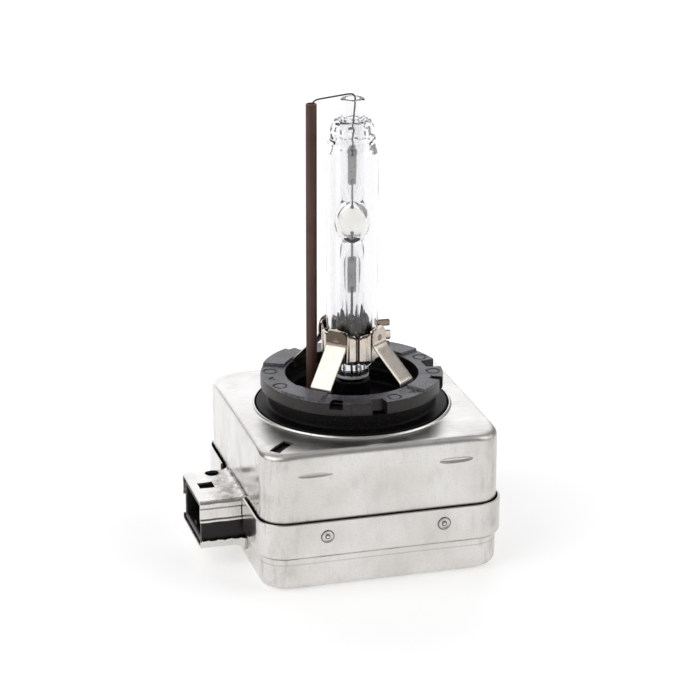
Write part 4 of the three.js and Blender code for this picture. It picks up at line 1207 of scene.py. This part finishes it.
def burner_rows(bore):
    """Burner, spun from a closed profile: two stems joined by the arc bulb. Outside and inside,
    the radius is the larger of the stem's and an ellipse's, rounded where they meet."""
    stem, bulb, low, high = STEM_RADIUS, burner_high[0], burner_low[2], burner_high[2]
    t = np.linspace(-1, 1, 61)
    ease = 5

    def swell(half_height, least, most, power):
        ellipse = most * np.maximum(1 - t ** 2, 0) ** power
        radius = (least ** ease + ellipse ** ease) ** (1 / ease)
        return np.stack([radius * least / radius[0], ARC_HEIGHT + half_height * t], -1)

    outer = swell(3.9, 1.8, bulb, 0.5)
    inner = swell(3.75, THROAT, bulb - BULB_WALL, 0.95)[::-1]
    seal = ARC_HEIGHT + np.array([3.9, 4.4, 6.6, -6.6, -4.4, -3.9])
    throat = (THROAT, THROAT, bore, bore, THROAT, THROAT)
    foot = softened([(bore, low), (stem, low), (stem, low + 1)], (0, 0.3, 0), 6)
    tip = softened(
        [(stem, high - 0.8), (stem, high), (bore, high), (bore, high - 1)], (0, 0.3, 0.2, 0), 6)
    profile = np.vstack([
        foot,
        [(stem, h) for h in np.linspace(low + 2, outer[0, 1] - 0.9, 10)],
        outer,
        [(stem, h) for h in np.linspace(outer[-1, 1] + 0.9, high - 1, 10)],
        tip,
        [(throat[2], seal[2]), (throat[1], seal[1]), (throat[0], seal[0])],
        inner,
        [(throat[5], seal[5]), (throat[4], seal[4]), (throat[3], seal[3])],
    ])
    return spun(profile, 72)


def foil_rows(node, phase):
    """Foil: a flat strip, thin at its edges, with a slight ripple along its length."""
    low, high = node_mm(node)
    z = np.linspace(low[2], high[2], 40)
    along = np.linspace(0, 1, 40)
    path = np.stack([0 * z, 0.05 * np.sin(9 * along + phase), z], -1)
    size = high[0] * (1 - 0.12 * (np.abs(along - 0.5) > 0.47))
    return swept(path, (1, 0, 0), size, 0.04, 24, 2.6)


def rod_rows(low, high, radius, x=0.0):
    """Straight round rod with rounded ends."""
    profile = softened([
        (0.02, low), (radius, low), (radius, high), (0.02, high),
    ], (0, radius * 0.8, radius * 0.8, 0), 5)
    return spun(divided(profile, 3.0), 24, (x, 0))


def electrode_rows(node):
    """Electrode: a small ball at the arc and a thin shank that laps over the foil."""
    low, high = node_mm(node)
    above = low[2] + high[2] > 2 * ARC_HEIGHT
    way = 1 if above else -1
    tip, end = (low[2], high[2] + WELD_LAP) if above else (high[2], low[2] - WELD_LAP)
    t = np.linspace(0.02, 0.86, 12) * np.pi
    ball = np.stack([0.34 * np.sin(t), tip + way * 0.34 * (1 - np.cos(t))], -1)
    profile = np.vstack([ball, [(0.17, tip + way * 1.0), (0.17, end), (0.02, end)]])
    return spun(profile if above else profile[::-1], 28)


def dark_crown_rows():
    """Dark crown between envelope and stem, a painted reflection of the collar's dark inside seen
    in the glass: a thin spun sleeve whose upper edge is ragged: its height is a sum of powers of
    |sin| of the angle, with four tall tongues."""
    angles = np.linspace(0, TURN, 240, endpoint=False)
    rag = np.abs(np.sin(5 * angles + 0.7)) ** 3 + 0.6 * np.abs(np.sin(11 * angles + 2)) ** 2
    rag = rag + 0.3 * np.abs(np.sin(23 * angles))
    low, high = collar_low[2] + 0.2, collar_high[2] + 0.5 + 1.0 * rag
    for centre in CROWN_TONGUES:
        high = high + 2.1 * bump(apart(angles, centre), 0, 4.0, 9.0)
    profile = np.array([(2.4, 0), (2.7, 0.0), (2.8, 0.4), (2.7, 0.8), (2.55, 1.0), (2.4, 0.97)])
    radius = np.broadcast_to(profile[:, :1], (len(profile), len(angles)))
    z = low + (high - low) * profile[:, 1:]
    return np.stack([radius * np.cos(angles), radius * np.sin(angles), z], -1)


def foot_highlight_rows():
    """Pale ring at the bottom of the glass foot, a painted highlight on its rim: a rounded ring,
    spun.
    """
    low = envelope_low[2]
    profile = softened([
        (2.45, low), (3.0, low), (3.0, low + 0.42), (2.45, low + 0.42),
    ], (0, 0.2, 0.2, 0), 6)
    return spun(profile, 96)


class BULB_OT_glass(bpy.types.Operator):
    """Blow the outer envelope and the burner, and put in the foils, electrodes and lead"""
    bl_idname = "bulb.glass"
    bl_label = "Glass and burner"

    def execute(self, context):
        lamp = context.scene.bulb_lamp
        placed(skin("glass_envelope", envelope_rows(lamp.glass_wall / MM), "ring"),
               PAINTS["envelope_glass"], ["outer_envelope"], 60)
        placed(skin("glass_burner", burner_rows(lamp.stem_bore / MM), "ring"),
               PAINTS["burner_glass"], ["arc_tube"], 60)
        for end, phase in (("upper", 0.4), ("lower", 2.1)):
            placed(skin(f"foil_strip_{end}", foil_rows(f"foil_{end}", phase)),
                   PAINTS["foil_metal"], [f"foil_{end}"])
            placed(skin(f"electrode_rod_{end}", electrode_rows(f"electrode_{end}")),
                   PAINTS["tungsten"], [f"electrode_{end}"])
        # Dark crown round the stem: a painted reflection of the collar's dark inside.
        placed(skin("painted_dark_crown", dark_crown_rows(), "ring"), PAINTS["seal_film"])
        # Pale ring on the glass foot: a painted highlight.
        placed(skin("painted_foot_highlight", foot_highlight_rows(), "ring"), PAINTS["fused_edge"])
        low, high = node_mm("lead_lower")
        placed(skin("lead_rod_lower", rod_rows(low[2], high[2] + WELD_LAP, high[0])),
               PAINTS["wire_metal"], ["lead_lower"])
        return {"FINISHED"}


# ---- Return wire and ceramic tube -----------------------------------------------------------

def return_wire_rows():
    """Return wire: up out of the tip, over in a low arch, and down into the ceramic tube."""
    radius, tip, mouth = 0.145, burner_high[2], sleeve_high[2]
    start = node_mm("foil_upper")[1][2] - WELD_LAP + 0.3
    corners = [
        (0, 0, start), (0.12, 0, tip - 4.0), (0.52, 0, wire_high[2] - 1.1),
        (0.3, 0, wire_high[2] - radius), (-0.7, 0, wire_high[2] - radius),
        (SLEEVE_X + 0.75, 0, mouth + 0.62), (SLEEVE_X + 0.12, 0, mouth + 0.12),
        (SLEEVE_X, 0, mouth - 1.0), (SLEEVE_X, 0, wire_low[2]),
    ]
    path = resampled(softened(corners, (0, 2.0, 0.5, 0.5, 0.5, 0.5, 0.4, 0.4, 0), 8), 420)
    path = smoothed(path, 6)
    return swept(path, (0, 1, 0), radius, radius, 14)


def sleeve_rows():
    """Ceramic tube: a hollow spun tube, bowed by less than a tenth of a millimetre."""
    radius, bore = (sleeve_high[0] - sleeve_low[0]) / 2, 0.62
    low, high = sleeve_low[2], sleeve_high[2]
    profile = softened([
        (bore, low), (radius, low), (radius, high), (bore, high), (bore, low + 0.01),
    ], (0, 0.1, 0.14, 0.1, 0), 6)
    rows = spun(divided(profile, 2.0), 48, (SLEEVE_X, 0))
    rows[..., 1] += 0.06 * np.sin((rows[..., 2] - low) / (high - low) * np.pi)
    return rows


class BULB_OT_return_path(bpy.types.Operator):
    """Bend the return wire and slide the ceramic tube over it"""
    bl_idname = "bulb.return_path"
    bl_label = "Return wire and tube"

    def execute(self, context):
        placed(skin("return_wire_line", return_wire_rows()), PAINTS["wire_metal"],
               ["return_wire"])
        placed(skin("ceramic_sleeve", sleeve_rows(), "ring"), PAINTS["ceramic"],
               ["ceramic_tube"])
        return {"FINISHED"}


# ---- Holder --------------------------------------------------------------------------------

def leg_angle(node):
    """Direction of a leg, from the middle of its node's points, in degrees."""
    mesh = frame["nodes"][node].data
    points = np.zeros(len(mesh.vertices) * 3)
    mesh.vertices.foreach_get("co", points)
    x, y = points.reshape(-1, 3)[:, :2].mean(0)
    return np.degrees(np.arctan2(y, x))


def collar_rows(legs):
    """Collar: an open band. Its radius is 5.0 mm, less a sharp groove between each pair of
    legs, plus a flat swelling behind each leg; its upper edge rises in a lobe at each leg and
    ripples between them."""
    angles = np.linspace(0, TURN, 360, endpoint=False)
    radius = np.full_like(angles, 4.98)
    top = np.full_like(angles, collar_high[2] - 0.75)
    low = np.full_like(angles, collar_low[2] + 0.1)
    for centre in legs:
        off = apart(angles, centre)
        near = bump(off, 0, 19.0, 5.0)
        radius += near * (5.18 / np.cos(np.radians(np.clip(off, -24, 24))) - 5.05)
        top += 0.95 * np.sqrt(np.maximum(1 - (off / 25.0) ** 2, 0)) * near
        groove = apart(angles, centre + 40.0)
        radius -= 0.55 * bump(groove, 0, 2.2, 3.0)
        top -= 0.25 * bump(groove, 0, 3.0, 6.0)
    top += 0.08 * np.sin(9 * angles)
    low += 0.06 * np.sin(7 * angles + 1)
    t = np.linspace(0, 1, 22)[:, None]
    z = low + (top - low) * t
    lip = 0.14 * np.clip((t - 0.86) / 0.14, 0, 1) ** 2 - 0.05 * np.sin(np.pi * t)
    reach = radius + lip
    return np.stack([reach * np.cos(angles), reach * np.sin(angles), z], -1)


TAB_RADIUS = 5.575
BUTTON_HEIGHT = 3.95
EARS = ((0.35, 1.5, 0.3), (2.0, 3.75, -0.3), (4.3, 5.5, 0.3))


def clamp_ear(name, low, high, y):
    """Ear of the clamp: a small plate that stands out from the collar, with round corners."""
    reach, middle = collar_high[0], (low + high) / 2
    path = np.linspace((reach - 2.5, y, middle), (reach, y, middle), 20)
    along = np.linspace(0, 1, 20)
    size = (high - low) / 2 * (1 - 0.25 * np.clip((along - 0.9) / 0.1, 0, 1) ** 2)
    path[:, 1] += 0.12 * np.sin(along * np.pi)
    return skin(name, swept(path, (0, 0, 1), size, 0.24, 28, 5.0))


def leg_path(foot_radius):
    """Middle line of a leg in its own plane, as radius and height: tab, rounded bend, slope
    and turned-down foot."""
    top, bend, ring_top_height = collar_high[2] + 0.5, collar_high[2] - 2.75, ring_high[2]
    line = softened([
        (TAB_RADIUS, top), (TAB_RADIUS, bend),
        (foot_radius, ring_top_height + 0.05), (foot_radius, ring_top_height - 1.5),
    ], (0, 1.0, 0.45, 0), 12)
    return resampled(line, 72)


def leg_rows(width, thick, foot_radius):
    """Leg: a flat bar along its middle line. The tab's end is a half circle in the width."""
    line = leg_path(foot_radius)
    path = np.stack([line[:, 0], 0 * line[:, 0], line[:, 1]], -1)
    run = np.concatenate([[0], np.cumsum(np.linalg.norm(np.diff(line, axis=0), axis=1))])
    near = np.clip(1 - run / (width / 2), 0, 1)
    half = width / 2 * np.sqrt(1 - near ** 2 * 0.985)
    return swept(path, (0, 1, 0), half, thick / 2, 36, 7.0)


def weld_button(name, angle, height):
    """Spot weld on a tab: a shallow crater with a raised lip, spun and laid on the tab."""
    profile = softened([
        (0.62, -0.1), (0.6, 0.03), (0.46, 0.09), (0.3, 0.02), (0.02, 0.05),
    ], (0, 0.08, 0.1, 0.1, 0), 5)
    rows = spun(profile, 32)
    out = TAB_RADIUS + 0.175
    flat = np.stack([rows[..., 2] + out, rows[..., 0], rows[..., 1] + height], -1)
    return skin(name, turned_to(flat, np.radians(angle)))


class BULB_OT_holder(bpy.types.Operator):
    """Form the clamp collar, its ears and the four legs"""
    bl_idname = "bulb.holder"
    bl_label = "Holder"

    def execute(self, context):
        lamp = context.scene.bulb_lamp
        steel = PAINTS["holder_steel"]
        angles = [leg_angle(node) for node in leg_nodes]
        collar = thickened(sheet("clamp_collar", collar_rows(angles), True), 0.28, -0.2)
        placed(collar, steel, ["holder_collar"])
        base = collar_low[2]
        scorch_and_shade = PAINTS["holder_scorch"]
        for index, (low, high, y) in enumerate(EARS, 1):
            ear = clamp_ear(f"clamp_ear_{index}", base + low, base + high, y)
            # The first and third ears take the darker copy as painted shade; the lit second ear
            # keeps the plain steel.
            placed(ear, steel if index == 2 else scorch_and_shade)
        foot = lamp.ring_bore / MM - 0.45
        for index, (node, angle) in enumerate(zip(leg_nodes, angles), 1):
            rows = leg_rows(lamp.leg_width / MM, lamp.leg_sheet / MM, foot)
            leg = skin(f"leg_strip_{index}", turned_to(rows, np.radians(angle)))
            placed(leg, PAINTS["leg_steel"], [node])
            button = weld_button(f"leg_weld_{index}", angle, base + BUTTON_HEIGHT)
            placed(button, scorch_and_shade)
        return {"FINISHED"}


# ---- Igniter -------------------------------------------------------------------------------

class BULB_OT_igniter(bpy.types.Operator):
    """Give the parts inside the case their finishes"""
    bl_idname = "bulb.igniter"
    bl_label = "Igniter"

    def execute(self, context):
        for part in frame["record"]["subparts"]:
            node = frame["nodes"][part["node"]]
            if not node.hide_render:
                node.data.materials.clear()
                node.data.materials.append(PAINTS[part["material_slot"]])
        return {"FINISHED"}


# ---- Stage ---------------------------------------------------------------------------------

CAMERA = {
    "azimuth": -15.908, "elevation": 19.914, "roll": 0.179,
    "distance": 456.571, "lens": 135.22, "target": (-0.318, 0.0, 34.72),
}


LIGHTS = (
    ("back", (0.1, 1.5, 0.62), 1.8, 11.5, (0.965, 0.975, 1.0)),
    ("left", (-1.3, -0.25, 1.1), 1.7, 13.0, (1.0, 1.0, 1.0)),
    ("right", (1.3, -0.35, 1.0), 1.4, 8.0, (1.0, 0.99, 0.97)),
    ("top", (0.0, 0.15, 1.9), 1.3, 1.6, (1.0, 1.0, 1.0)),
)

FLOOR_REACH = 4000.0
FLOOR_HEIGHT = -0.02
WHITE = (1.0, 1.0, 1.0, 1.0)


def aim_camera():
    """Camera on a circle round its target, looking at it, then rolled about its own axis."""
    a, e, r = (np.radians(CAMERA[key]) for key in ("azimuth", "elevation", "roll"))
    back = np.array([np.sin(a) * np.cos(e), -np.cos(a) * np.cos(e), np.sin(e)])
    right = np.array([np.cos(a), np.sin(a), 0])
    up = np.cross(back, right)
    right, up = np.cos(r) * right + np.sin(r) * up, np.cos(r) * up - np.sin(r) * right
    data = bpy.data.cameras.new("camera")
    data.lens = CAMERA["lens"]
    data.clip_end = 20
    camera = bpy.data.objects.new("camera", data)
    bpy.context.scene.collection.objects.link(camera)
    place = (np.array(CAMERA["target"]) + back * CAMERA["distance"]) * MM
    turn = Matrix(np.stack([right, up, back], 1).tolist()).to_4x4()
    camera.matrix_world = Matrix.Translation(place.tolist()) @ turn
    bpy.context.scene.camera = camera


def soft_light(name, place, size, power, colour):
    """Square soft light that faces the middle of the bulb."""
    data = bpy.data.lights.new(name, "AREA")
    data.shape = "SQUARE"
    data.size = size
    data.energy = power
    data.color = colour
    light = bpy.data.objects.new(name, data)
    light.visible_camera = False
    bpy.context.scene.collection.objects.link(light)
    back = np.array(place) - (0, 0, 0.03)
    back = back / np.linalg.norm(back)
    right = np.cross((0, 0, 1), back)
    right = right / np.linalg.norm(right)
    up = np.cross(back, right)
    turn = Matrix(np.stack([right, up, back], 1).tolist()).to_4x4()
    light.matrix_world = Matrix.Translation(place) @ turn


class BULB_OT_stage(bpy.types.Operator):
    """Lay the floor and set the camera and the studio lights"""
    bl_idname = "bulb.stage"
    bl_label = "Stage"

    def execute(self, context):
        settings = context.scene.bulb_stage
        aim_camera()
        ends = (-FLOOR_REACH, FLOOR_REACH)
        rows = [[(x, y, FLOOR_HEIGHT) for x in ends] for y in ends]
        floor = sheet("floor", np.array(rows))
        paint = Paint("floor_paper", settings.floor, 0.9, Emission_Strength=settings.floor_glow)
        paint.shader.inputs["Emission Color"].default_value = WHITE
        grain = paint.noise(0.02, detail=2.0)
        paint.feed("Base Color", paint.blend(grain, settings.floor, scaled(settings.floor, 0.99)))
        floor.data.materials.append(paint.material)
        world = bpy.data.worlds.new("studio")
        world.use_nodes = True
        sky = world.node_tree.nodes["Background"]
        sky.inputs["Color"].default_value = WHITE
        sky.inputs["Strength"].default_value = settings.sky
        context.scene.world = world
        context.scene.view_settings.view_transform = "Standard"
        for light in LIGHTS:
            soft_light(*light)
        return {"FINISHED"}


# ---- Panel and registration -----------------------------------------------------------------

OPERATORS = (
    BULB_OT_upper_can, BULB_OT_lower_pan, BULB_OT_connector, BULB_OT_housing, BULB_OT_glass,
    BULB_OT_return_path, BULB_OT_holder, BULB_OT_igniter, BULB_OT_stage,
)


class BULB_PT_panel(bpy.types.Panel):
    bl_label = "Headlight bulb"
    bl_idname = "BULB_PT_panel"
    bl_space_type = "VIEW_3D"
    bl_region_type = "UI"
    bl_category = "Headlight bulb"

    def draw(self, context):
        for group in (context.scene.bulb_case, context.scene.bulb_lamp,
                      context.scene.bulb_colours, context.scene.bulb_stage):
            box = self.layout.box()
            for key in group.__annotations__:
                box.prop(group, key)
        for operator in OPERATORS:
            self.layout.operator(operator.bl_idname)


GROUPS = {
    "bulb_case": CaseSizes, "bulb_lamp": LampSizes,
    "bulb_colours": FinishColours, "bulb_stage": StageSettings,
}


def register():
    for group in (*GROUPS.values(), *OPERATORS, BULB_PT_panel):
        bpy.utils.register_class(group)
    for key, group in GROUPS.items():
        setattr(bpy.types.Scene, key, bpy.props.PointerProperty(type=group))


def unregister():
    for key in GROUPS:
        delattr(bpy.types.Scene, key)
    for group in reversed((*GROUPS.values(), *OPERATORS, BULB_PT_panel)):
        bpy.utils.unregister_class(group)


def main():
    register()
    prepare_paints()
    for operator in OPERATORS:
        space, name = operator.bl_idname.split(".")
        getattr(getattr(bpy.ops, space), name)()


if __name__ == "__main__":
    main()
